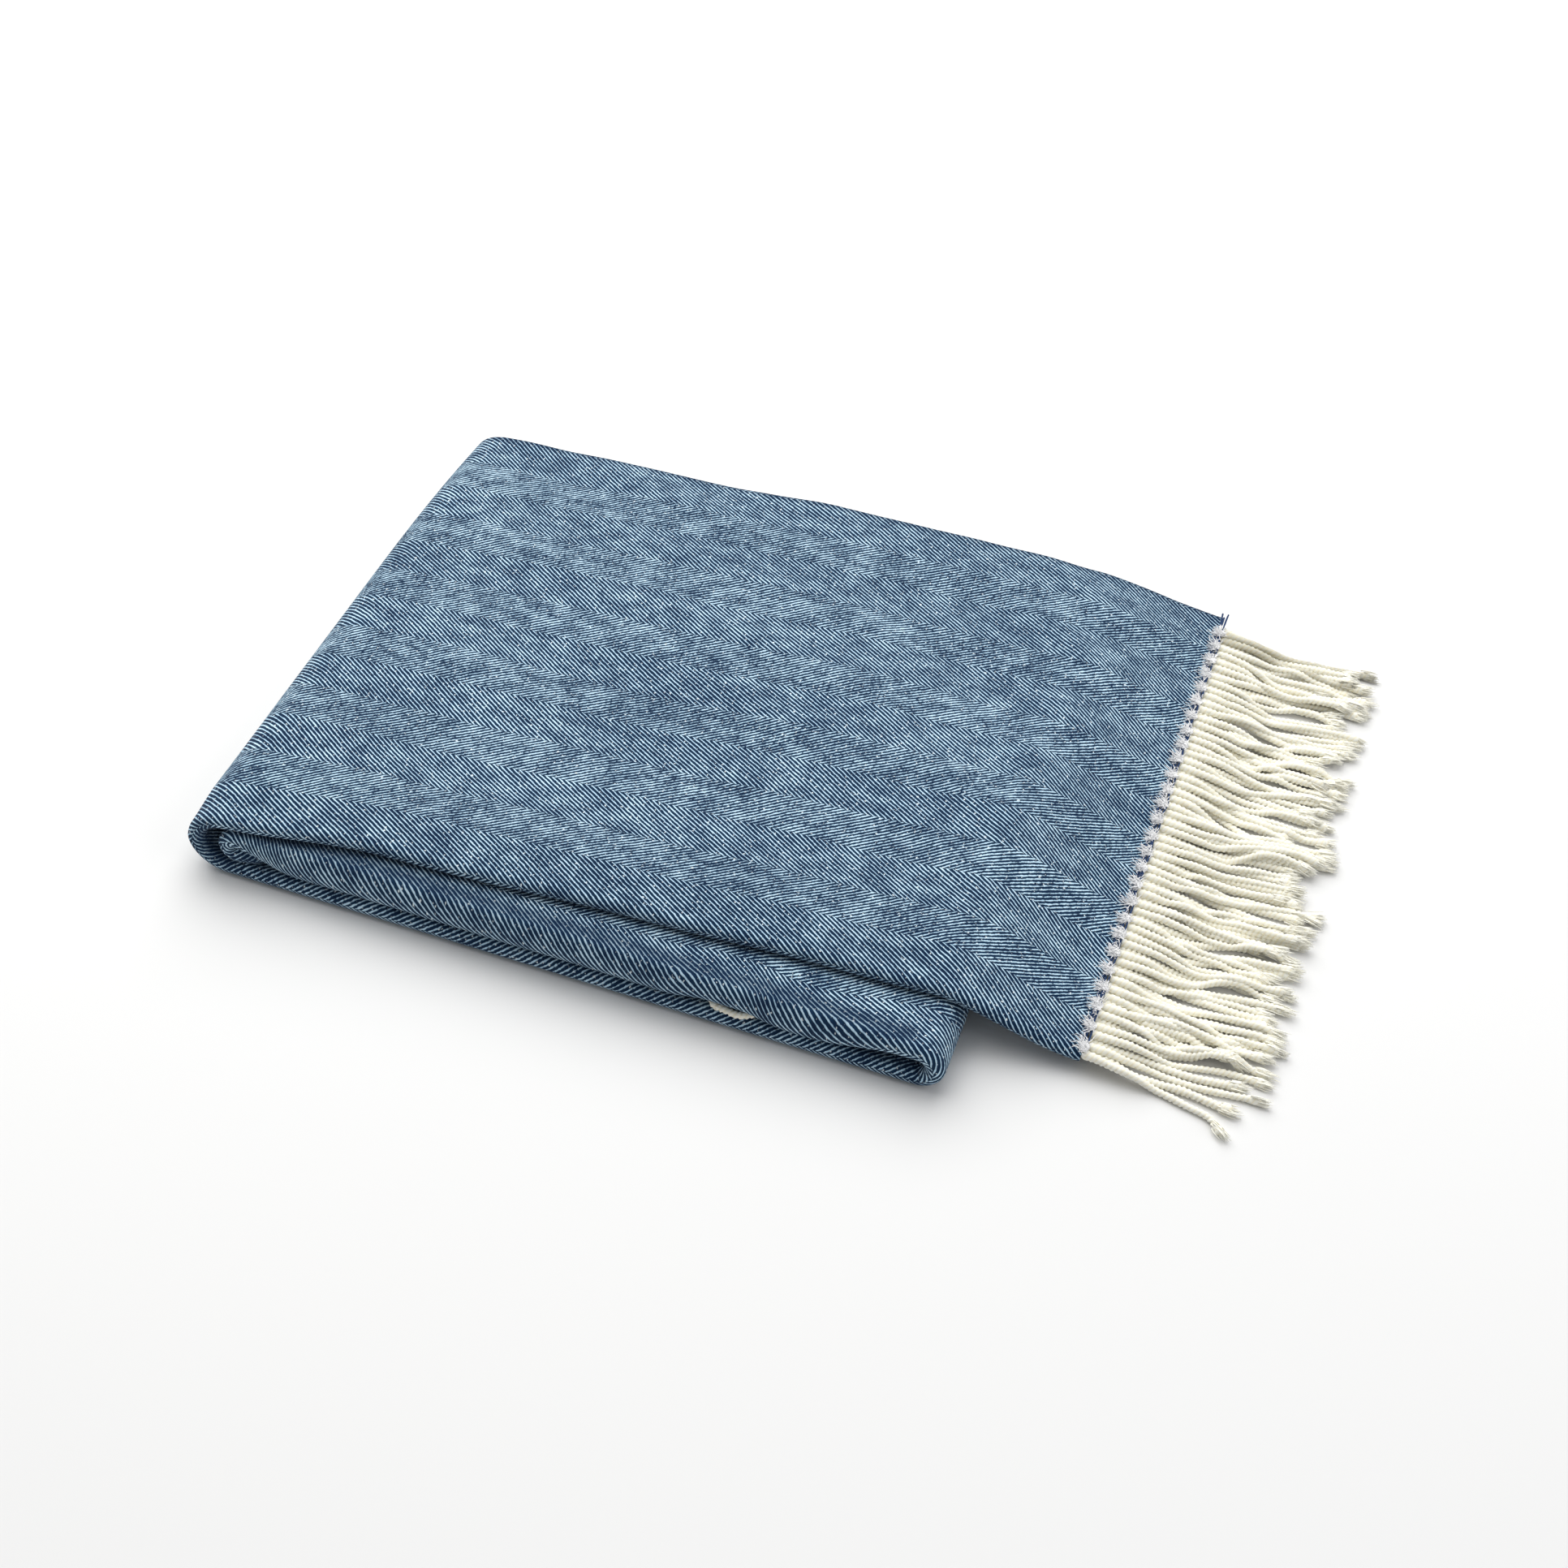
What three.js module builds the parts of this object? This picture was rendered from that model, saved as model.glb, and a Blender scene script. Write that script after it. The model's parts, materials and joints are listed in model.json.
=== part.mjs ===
// Folded throw blanket: one woven cloth, folded into a stack of four layers, with a fringed end
// that hangs over the stack's right side. Sizes are in millimetres.
// +X runs along the layers towards the fringe, +Y away from the rolled front edges, +Z up.
import * as THREE from 'three';

// Driving dimensions
const foldedWidth = 318; // across one layer, rolled front edge to selvedge
const stackLength = 390; // outermost line of the left fold to that of the right fold
const layerThickness = 10.2; // four plies of cloth
const layerGap = 0.3; // between faces that touch on the real cloth
const innerFringeRoom = 24; // from the hidden fringe's tips to the right fold
const overhangLength = 55; // of the top layer past the stack, seen from above
const overhangDrop = 23; // how far the hem sits below the top of the stack's right end
const stackDrop = 3.5; // how much lower the stack is where the inner layer has ended
const skewSlope = 0.034; // sideways step per length; the top layer leans back, the others forward
const edgeRounding = 4.8; // of the front and back edges, less than half a layer
const stitchLength = 4; // of the sewn edge along X
const stitchHeight = 7.2; // of the sewn edge
const stitchRounding = 1; // of the sewn edge and the flat fringes
const fringeLength = 78; // from the sewn edge to the tips
const innerFringeThickness = 4;
const lowerFringeThickness = 4.5;
const lowerFringeStep = 6; // how much shorter the lower fringe is than the one that shows
const tasselCount = 28; // on the ply that shows
const tasselRadius = 2.4;
const tasselLift = 2; // of a tassel's root above the middle of the hem
const tasselFallShare = 0.6; // of its length, over which a tassel comes down to the lower fringe
const tasselInset = 6; // from the layer's edges to the first and last tassel
const tasselLengthSteps = [0, -3, 1, -5, -1, 2, -4]; // uneven ends, repeated along the row
const floorClearance = 0.5; // under the lower fringe

// Heights and radii that follow from them
const layerPitch = layerThickness + layerGap;
const bottomMid = layerThickness / 2;
const innerMid = bottomMid + layerPitch;
const middleMid = innerMid + layerPitch;
const topMid = middleMid + layerPitch;
const leftFoldRadius = (topMid - bottomMid) / 2;
const innerFoldRadius = (middleMid - innerMid) / 2;
const foldCentreX = leftFoldRadius + layerThickness / 2;
const foldCentreZ = bottomMid + leftFoldRadius;
const middleEndMid = middleMid - stackDrop;
const rightFoldRadius = (middleEndMid - bottomMid) / 2;
const rightFoldX = stackLength - rightFoldRadius - layerThickness / 2;
const innerFringeX = rightFoldX - innerFringeRoom - fringeLength;
const innerLayerEnd = innerFringeX - layerGap - stitchLength;
const hemX = stackLength + overhangLength;
const hemMid = topMid - stackDrop - overhangDrop;

const woven = new THREE.MeshStandardMaterial({ color: 0x49698c, roughness: 0.95, metalness: 0 });
const yarn = new THREE.MeshStandardMaterial({ color: 0xe9e1cf, roughness: 0.95, metalness: 0 });
const thread = new THREE.MeshStandardMaterial({ color: 0x1f2b45, roughness: 0.9, metalness: 0 });

const blanket = new THREE.Group();

/**
 * A curve from a function of its share from 0 to 1. Those that layers follow are side views, drawn
 * in the X-Y plane with X along the cloth and Y up.
 */
class Run extends THREE.Curve {
  constructor(pointAt) {
    super();
    this.pointAt = pointAt;
  }

  getPoint(share, target = new THREE.Vector3()) {
    return target.copy(this.pointAt(share));
  }
}

/** A straight stretch between two points of the side view. */
function straightRun(startX, startZ, endX, endZ) {
  return new THREE.LineCurve3(
    new THREE.Vector3(startX, startZ, 0),
    new THREE.Vector3(endX, endZ, 0),
  );
}

/** A stretch at one height, eased down to where the inner layer is missing. */
function settledRun(startX, endX, levelHeight) {
  return new Run((share) => {
    const x = THREE.MathUtils.lerp(startX, endX, share);
    const drop = stackDrop * THREE.MathUtils.smoothstep(x, innerLayerEnd, rightFoldX);
    return new THREE.Vector3(x, levelHeight - drop, 0);
  });
}

/** An arc about a centre, with angles in degrees from +X towards up. */
function arcRun(centreX, centreZ, radius, fromDegrees, toDegrees) {
  return new Run((share) => {
    const angle = THREE.MathUtils.degToRad(THREE.MathUtils.lerp(fromDegrees, toDegrees, share));
    return new THREE.Vector3(
      centreX + radius * Math.cos(angle),
      centreZ + radius * Math.sin(angle),
      0,
    );
  });
}

/** The overhang's middle: level over the stack's edge, then down and level again at the hem. */
function overhangRun() {
  const reach = (hemX - stackLength) * 0.4;
  return new THREE.CubicBezierCurve3(
    new THREE.Vector3(stackLength + layerGap / 2, topMid - stackDrop, 0),
    new THREE.Vector3(stackLength + reach, topMid - stackDrop, 0),
    new THREE.Vector3(hemX - reach, hemMid, 0),
    new THREE.Vector3(hemX, hemMid, 0),
  );
}

/** Leans a geometry sideways, so that its front edge moves back as x grows. */
function skew(geometry, slope) {
  const position = geometry.getAttribute('position');
  for (let i = 0; i < position.count; i += 1) {
    position.setY(i, position.getY(i) + slope * position.getX(i));
  }
  geometry.computeVertexNormals();
  return geometry;
}

/** Section across the cloth: its folded width by a thickness, with rounded front and back edges. */
function sectionAcross(thickness, rounding) {
  const half = thickness / 2;
  const shape = new THREE.Shape();
  shape.absarc(rounding, half - rounding, rounding, Math.PI / 2, Math.PI, false);
  shape.absarc(rounding, rounding - half, rounding, Math.PI, 1.5 * Math.PI, false);
  shape.absarc(foldedWidth - rounding, rounding - half, rounding, 1.5 * Math.PI, 2 * Math.PI, false);
  shape.absarc(foldedWidth - rounding, half - rounding, rounding, 0, Math.PI / 2, false);
  return shape;
}

/** Adds a solid that runs across the whole layer and follows a run. */
function addAcross(name, run, thickness, rounding, material, slope, steps) {
  const geometry = new THREE.ExtrudeGeometry(sectionAcross(thickness, rounding), {
    steps,
    curveSegments: 6,
    extrudePath: run,
  });
  geometry.rotateX(Math.PI / 2);
  const mesh = new THREE.Mesh(skew(geometry, slope), material);
  mesh.name = name;
  blanket.add(mesh);
}

/** Adds one layer of the cloth, four plies thick. */
function addLayer(name, run, slope, steps = 12) {
  addAcross(name, run, layerThickness, edgeRounding, woven, slope, steps);
}

function addLowerLayers() {
  const left = foldCentreX + layerGap / 2;
  const right = rightFoldX - layerGap / 2;
  addLayer('bottom_layer', straightRun(left, bottomMid, right, bottomMid), -skewSlope, 1);
  addLayer('right_fold', arcRun(
    rightFoldX + layerGap / 2, bottomMid + rightFoldRadius, rightFoldRadius, -90, 90,
  ), -skewSlope);
  addLayer('middle_layer', settledRun(left, right, middleMid), -skewSlope);
  addLayer('inner_fold', arcRun(
    foldCentreX - layerGap / 2, foldCentreZ, innerFoldRadius, 90, 270,
  ), -skewSlope);
  addLayer('inner_layer', straightRun(left, innerMid, innerLayerEnd, innerMid), -skewSlope, 1);
}

/** The outer left fold, split at half its height, where its lower and upper halves part. */
function addLeftFold() {
  const split = THREE.MathUtils.radToDeg(layerGap / 2 / leftFoldRadius);
  const centreX = foldCentreX - layerGap / 2;
  addLayer('left_fold_lower', arcRun(
    centreX, foldCentreZ, leftFoldRadius, 270, 180 + split,
  ), -skewSlope);
  addLayer('left_fold_upper', arcRun(
    centreX, foldCentreZ, leftFoldRadius, 180 - split, 90,
  ), skewSlope);
}

function addTopLayer() {
  const left = foldCentreX + layerGap / 2;
  addLayer('top_layer', settledRun(left, stackLength - layerGap / 2, topMid), skewSlope);
  addLayer('overhang', overhangRun(), skewSlope);
}

/** Adds the row of stitches along a layer's end, as a low bar on the end's face. */
function addStitching(name, endX, middle, slope) {
  const run = straightRun(endX + layerGap, middle, endX + stitchLength, middle);
  addAcross(name, run, stitchHeight, stitchRounding, thread, slope, 1);
}

/** Adds the fringe of plies that hardly show, joined into one flat band. */
function addFringeBand(name, run, thickness, slope) {
  addAcross(name, run, thickness, stitchRounding, yarn, slope, 1);
}

function addInnerEnd() {
  addStitching('inner_hem_stitching', innerLayerEnd, innerMid, -skewSlope);
  const end = innerFringeX + fringeLength;
  const run = straightRun(innerFringeX, innerMid, end, innerMid - stackDrop / 2);
  addFringeBand('inner_fringe', run, innerFringeThickness, -skewSlope);
}

function addTassel(index, start) {
  const pitch = (foldedWidth - 2 * tasselInset) / (tasselCount - 1);
  const length = fringeLength + tasselLengthSteps[index % tasselLengthSteps.length];
  const restHeight = floorClearance + lowerFringeThickness + layerGap + tasselRadius;
  const lift = hemMid + tasselLift - restHeight;
  const y = tasselInset + index * pitch;
  const path = new Run((share) => {
    const x = start + share * length;
    const fallen = THREE.MathUtils.smoothstep(share, 0, tasselFallShare);
    return new THREE.Vector3(x, y + skewSlope * x, restHeight + lift * (1 - fallen));
  });
  const section = new THREE.Shape().absarc(0, 0, tasselRadius, 0, 2 * Math.PI);
  const geometry = new THREE.ExtrudeGeometry(section, {
    steps: 12,
    curveSegments: 5,
    extrudePath: path,
  });
  const mesh = new THREE.Mesh(geometry, yarn);
  mesh.name = `tassel_${String(index + 1).padStart(2, '0')}`;
  blanket.add(mesh);
}

function addFringedEnd() {
  addStitching('hem_stitching', hemX, hemMid, skewSlope);
  const start = hemX + stitchLength + layerGap;
  const low = floorClearance + lowerFringeThickness / 2;
  const end = start + fringeLength - lowerFringeStep;
  addFringeBand('lower_fringe', straightRun(start, low, end, low), lowerFringeThickness, skewSlope);
  for (let index = 0; index < tasselCount; index += 1) {
    addTassel(index, start);
  }
}

/** Puts the bottom centre of the whole blanket's box at the origin. */
function centreOnFloor() {
  const box = new THREE.Box3().setFromObject(blanket);
  const centre = box.getCenter(new THREE.Vector3());
  blanket.position.set(-centre.x, -centre.y, -box.min.z);
}

addLowerLayers();
addLeftFold();
addTopLayer();
addInnerEnd();
addFringedEnd();
centreOnFloor();

export default blanket;
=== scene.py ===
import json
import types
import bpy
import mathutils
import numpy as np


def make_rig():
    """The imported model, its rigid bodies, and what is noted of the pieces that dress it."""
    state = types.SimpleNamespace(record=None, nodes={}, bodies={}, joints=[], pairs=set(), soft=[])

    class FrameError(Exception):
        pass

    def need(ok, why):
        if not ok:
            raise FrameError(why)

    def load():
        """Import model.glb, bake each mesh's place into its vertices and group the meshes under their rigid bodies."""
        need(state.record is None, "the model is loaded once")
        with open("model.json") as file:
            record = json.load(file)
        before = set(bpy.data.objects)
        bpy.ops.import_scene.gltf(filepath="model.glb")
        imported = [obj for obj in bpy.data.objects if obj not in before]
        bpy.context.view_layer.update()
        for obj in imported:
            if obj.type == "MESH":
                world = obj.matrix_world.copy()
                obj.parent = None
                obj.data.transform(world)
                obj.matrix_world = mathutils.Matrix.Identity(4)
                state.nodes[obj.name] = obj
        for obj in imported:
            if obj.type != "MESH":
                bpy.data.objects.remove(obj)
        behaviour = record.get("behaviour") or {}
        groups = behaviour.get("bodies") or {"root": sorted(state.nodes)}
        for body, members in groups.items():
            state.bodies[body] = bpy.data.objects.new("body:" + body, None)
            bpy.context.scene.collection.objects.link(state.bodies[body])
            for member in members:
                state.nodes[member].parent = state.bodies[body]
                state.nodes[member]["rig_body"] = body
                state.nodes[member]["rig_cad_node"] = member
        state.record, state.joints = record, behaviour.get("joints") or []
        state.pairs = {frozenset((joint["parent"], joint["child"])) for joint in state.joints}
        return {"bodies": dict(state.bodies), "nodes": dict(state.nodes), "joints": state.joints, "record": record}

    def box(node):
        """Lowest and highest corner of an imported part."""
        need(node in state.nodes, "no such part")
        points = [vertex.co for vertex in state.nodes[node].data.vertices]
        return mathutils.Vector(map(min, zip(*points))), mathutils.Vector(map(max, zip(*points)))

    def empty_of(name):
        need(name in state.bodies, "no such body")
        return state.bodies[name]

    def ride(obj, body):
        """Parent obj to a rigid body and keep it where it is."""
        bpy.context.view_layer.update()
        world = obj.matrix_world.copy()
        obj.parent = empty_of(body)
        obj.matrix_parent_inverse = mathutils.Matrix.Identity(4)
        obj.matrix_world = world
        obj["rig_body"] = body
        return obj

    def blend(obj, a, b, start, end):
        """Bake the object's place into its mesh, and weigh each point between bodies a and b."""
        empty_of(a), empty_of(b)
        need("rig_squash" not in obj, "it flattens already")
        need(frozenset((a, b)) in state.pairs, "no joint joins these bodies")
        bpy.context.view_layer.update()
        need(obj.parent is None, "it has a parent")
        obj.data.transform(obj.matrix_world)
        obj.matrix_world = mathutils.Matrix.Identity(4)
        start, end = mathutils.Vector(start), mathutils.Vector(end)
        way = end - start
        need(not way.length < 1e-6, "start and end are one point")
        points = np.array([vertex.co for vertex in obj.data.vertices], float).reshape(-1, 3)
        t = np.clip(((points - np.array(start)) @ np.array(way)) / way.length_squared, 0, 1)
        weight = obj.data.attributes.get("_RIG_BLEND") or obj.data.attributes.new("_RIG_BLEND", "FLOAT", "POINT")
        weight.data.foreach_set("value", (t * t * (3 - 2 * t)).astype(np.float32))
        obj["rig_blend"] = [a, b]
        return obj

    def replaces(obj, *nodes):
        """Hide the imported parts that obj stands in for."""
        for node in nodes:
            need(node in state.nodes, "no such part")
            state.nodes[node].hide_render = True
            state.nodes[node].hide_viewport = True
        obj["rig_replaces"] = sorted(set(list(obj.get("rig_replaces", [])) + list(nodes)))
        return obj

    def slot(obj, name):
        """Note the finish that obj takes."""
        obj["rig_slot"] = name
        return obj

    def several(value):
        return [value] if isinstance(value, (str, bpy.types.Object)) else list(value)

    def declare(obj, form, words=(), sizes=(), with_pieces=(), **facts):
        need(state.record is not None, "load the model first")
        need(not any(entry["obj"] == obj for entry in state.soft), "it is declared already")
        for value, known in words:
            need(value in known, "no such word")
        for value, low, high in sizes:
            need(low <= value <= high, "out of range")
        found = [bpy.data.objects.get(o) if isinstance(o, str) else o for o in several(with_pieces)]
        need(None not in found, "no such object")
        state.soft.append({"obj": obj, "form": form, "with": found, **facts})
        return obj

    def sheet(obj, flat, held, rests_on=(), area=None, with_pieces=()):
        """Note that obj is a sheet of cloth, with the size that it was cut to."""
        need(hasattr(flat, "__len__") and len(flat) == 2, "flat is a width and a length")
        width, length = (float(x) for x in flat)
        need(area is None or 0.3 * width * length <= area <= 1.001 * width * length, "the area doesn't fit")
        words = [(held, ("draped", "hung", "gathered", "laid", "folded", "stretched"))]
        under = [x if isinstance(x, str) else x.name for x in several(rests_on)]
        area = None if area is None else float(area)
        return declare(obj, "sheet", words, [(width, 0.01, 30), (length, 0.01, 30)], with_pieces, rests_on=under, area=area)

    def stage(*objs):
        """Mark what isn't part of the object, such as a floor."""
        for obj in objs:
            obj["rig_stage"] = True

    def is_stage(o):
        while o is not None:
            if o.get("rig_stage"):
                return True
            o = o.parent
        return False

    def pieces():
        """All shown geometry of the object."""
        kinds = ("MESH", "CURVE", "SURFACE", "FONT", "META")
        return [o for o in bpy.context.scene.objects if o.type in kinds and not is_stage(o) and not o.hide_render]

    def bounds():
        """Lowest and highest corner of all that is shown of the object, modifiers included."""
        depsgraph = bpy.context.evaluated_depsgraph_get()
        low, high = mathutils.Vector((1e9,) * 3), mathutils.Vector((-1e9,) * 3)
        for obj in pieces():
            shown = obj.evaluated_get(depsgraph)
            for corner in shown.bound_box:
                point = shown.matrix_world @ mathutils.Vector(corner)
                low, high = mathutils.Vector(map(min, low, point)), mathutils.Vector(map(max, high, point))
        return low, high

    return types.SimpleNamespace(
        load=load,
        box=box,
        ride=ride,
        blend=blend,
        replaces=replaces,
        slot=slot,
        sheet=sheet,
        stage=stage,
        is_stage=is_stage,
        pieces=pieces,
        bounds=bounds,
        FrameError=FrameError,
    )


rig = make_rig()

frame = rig.load()

import json
import logging
import math
from dataclasses import dataclass, field
from enum import Enum
from typing import Any, Sequence

import bpy
import numpy as np
from mathutils import Vector

CAD_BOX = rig.bounds()
LOG = logging.getLogger("folded_throw")
SEED = 20

Array = np.ndarray


# Small maths.


def ease(low: float, high: float, value: Any) -> Any:
    """Smooth step from 0 at low to 1 at high.

    Args:
        low: Where the step starts.
        high: Where the step ends; below low for a falling step.
        value: A number or an array.

    Returns:
        The step's value, as a number or an array.
    """
    share = np.clip((np.asarray(value, float) - low) / (high - low), 0.0, 1.0)
    return share * share * (3.0 - 2.0 * share)


def bump_between(low: float, high: float, soft: float, value: Any) -> Any:
    """A plateau of 1 between low and high that falls to 0 over soft on each side."""
    return ease(low - soft, low, value) * (1.0 - ease(high, high + soft, value))


class Ripple:
    """Smooth seeded unevenness: a sum of waves in random directions."""

    def __init__(self, wavelength: float, seed: int, waves: int = 9) -> None:
        """Draws the waves.

        Args:
            wavelength: Typical distance between crests, in metres.
            seed: Seed of the random draws.
            waves: How many waves are added up.
        """
        rng = np.random.default_rng(seed)
        angle = rng.uniform(0.0, 2.0 * math.pi, waves)
        number = 2.0 * math.pi / (wavelength * rng.uniform(0.7, 1.7, waves))
        self.kx = number * np.cos(angle)
        self.ky = number * np.sin(angle)
        self.phase = rng.uniform(0.0, 2.0 * math.pi, waves)

    def at(self, x: Any, y: Any = 0.0) -> Any:
        """Height of the ripple.

        Args:
            x: Places along the first direction.
            y: Places along the second direction.

        Returns:
            Heights at these places, mostly between -1 and 1.
        """
        x = np.asarray(x, float)[..., None]
        y = np.asarray(y, float)[..., None]
        waves = np.cos(self.kx * x + self.ky * y + self.phase)
        return waves.sum(-1) / math.sqrt(len(self.phase) * 0.5) * 0.6


# Shader maths.


class Value:
    """A shader socket that adds Math nodes when it is used in an expression."""

    def __init__(self, shader: "Shader", socket: Any) -> None:
        """Keeps the shader it belongs to and the socket it stands for."""
        self.shader = shader
        self.socket = socket

    def _math(self, operation: str, *operands: Any) -> "Value":
        """One Math node with this operation."""
        return self.shader.node("ShaderNodeMath", {"operation": operation}, dict(enumerate(operands)))

    def __add__(self, other: Any) -> "Value":
        """Sum."""
        return self._math("ADD", self, other)

    __radd__ = __add__

    def __sub__(self, other: Any) -> "Value":
        """Difference."""
        return self._math("SUBTRACT", self, other)

    def __rsub__(self, other: Any) -> "Value":
        """Difference, the other way round."""
        return self._math("SUBTRACT", other, self)

    def __mul__(self, other: Any) -> "Value":
        """Product."""
        return self._math("MULTIPLY", self, other)

    __rmul__ = __mul__

    def __truediv__(self, other: Any) -> "Value":
        """Quotient."""
        return self._math("DIVIDE", self, other)

    def __rtruediv__(self, other: Any) -> "Value":
        """Quotient, the other way round."""
        return self._math("DIVIDE", other, self)

    def angle_to(self, other: Any) -> "Value":
        """Angle, in radians, of the direction whose parts are other and this value."""
        return self._math("ARCTAN2", self, other)

    def floor(self) -> "Value":
        """Largest whole number not above it."""
        return self._math("FLOOR", self)

    def fract(self) -> "Value":
        """What is above the whole number."""
        return self._math("FRACT", self)

    def sine(self) -> "Value":
        """Sine of the value in radians."""
        return self._math("SINE", self)

    def absolute(self) -> "Value":
        """Value without its sign."""
        return self._math("ABSOLUTE", self)

    def least(self, other: Any) -> "Value":
        """The smaller of the two."""
        return self._math("MINIMUM", self, other)

    def spread(self, low: float, high: float, smooth: bool = True) -> "Value":
        """The value's place between two limits.

        Args:
            low: Where it is 0.
            high: Where it is 1.
            smooth: Whether it eases in and out at the limits.

        Returns:
            The place, from 0 to 1.
        """
        settings = {"interpolation_type": "SMOOTHSTEP" if smooth else "LINEAR"}
        values = {"Value": self, "From Min": low, "From Max": high}
        return self.shader.node("ShaderNodeMapRange", settings, values)


class Shader:
    """Builds one material's nodes."""

    def __init__(self, name: str) -> None:
        """Makes an empty material with a Principled shader.

        Args:
            name: The material's name.
        """
        self.material = bpy.data.materials.new(name)
        self.material.use_nodes = True
        self.tree = self.material.node_tree
        self.tree.nodes.clear()
        output = self.tree.nodes.new("ShaderNodeOutputMaterial")
        self.surface = self.tree.nodes.new("ShaderNodeBsdfPrincipled")
        self.tree.links.new(self.surface.outputs[0], output.inputs[0])

    def node(
        self,
        kind: str,
        settings: dict[str, Any] | None = None,
        values: dict[Any, Any] | None = None,
        output: Any = 0,
    ) -> Value:
        """Adds a node.

        Args:
            kind: Blender's node type.
            settings: The node's own settings, set first.
            values: Values or links by socket name or index.
            output: Name or index of the output that is handed back.

        Returns:
            The output, ready for expressions.
        """
        node = self.tree.nodes.new(kind)
        for key, setting in (settings or {}).items():
            setattr(node, key, setting)
        for key, value in (values or {}).items():
            self.feed(node.inputs[key], value)
        return Value(self, node.outputs[output])

    def feed(self, target: Any, value: Any) -> None:
        """Links a Value to a socket, or sets a constant on it.

        Args:
            target: The socket.
            value: What it is given.
        """
        if isinstance(value, Value):
            self.tree.links.new(value.socket, target)
        else:
            target.default_value = value

    def mix_colour(self, share: Any, first: Any, second: Any) -> Value:
        """Mixes two colours, by a share from 0, all first, to 1, all second."""
        settings = {"data_type": "RGBA", "clamp_factor": True}
        return self.node("ShaderNodeMix", settings, {0: share, 6: first, 7: second}, 2)

    def noise(self, where: Any, scale: float, detail: float = 2.0, rough: float = 0.5) -> Value:
        """Noise from 0 to 1 at a vector."""
        values = {"Vector": where, "Scale": scale, "Detail": detail, "Roughness": rough}
        return self.node("ShaderNodeTexNoise", {"noise_dimensions": "3D"}, values)

    def vector(self, x: Any, y: Any, z: Any = 0.0) -> Value:
        """A vector from three values."""
        return self.node("ShaderNodeCombineXYZ", None, {0: x, 1: y, 2: z})

    def parts(self, attribute: str) -> tuple[Value, Value, Value]:
        """The three numbers of a vector that the mesh carries.

        Args:
            attribute: Name under which it carries the vector.

        Returns:
            The three numbers, ready for expressions.
        """
        held = self.node("ShaderNodeAttribute", {"attribute_name": attribute}, None, "Vector")
        split = self.tree.nodes.new("ShaderNodeSeparateXYZ")
        self.tree.links.new(held.socket, split.inputs[0])
        return tuple(Value(self, split.outputs[i]) for i in range(3))

    def bump(self, height: Any, strength: float, distance: float) -> Value:
        """A bumped normal, with the height's reach as a distance in metres."""
        values = {"Height": height, "Strength": strength, "Distance": distance}
        return self.node("ShaderNodeBump", None, values)

    def finish(self, **sockets: Any) -> bpy.types.Material:
        """Feeds the Principled shader's sockets.

        Args:
            sockets: What each socket is given, by its name with _ for a space.

        Returns:
            The finished material.
        """
        for name, value in sockets.items():
            self.feed(self.surface.inputs[name.replace("_", " ")], value)
        return self.material


def rgba(red: float, green: float, blue: float) -> tuple[float, float, float, float]:
    """An opaque linear colour."""
    return (red, green, blue, 1.0)


# Finishes.


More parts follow.
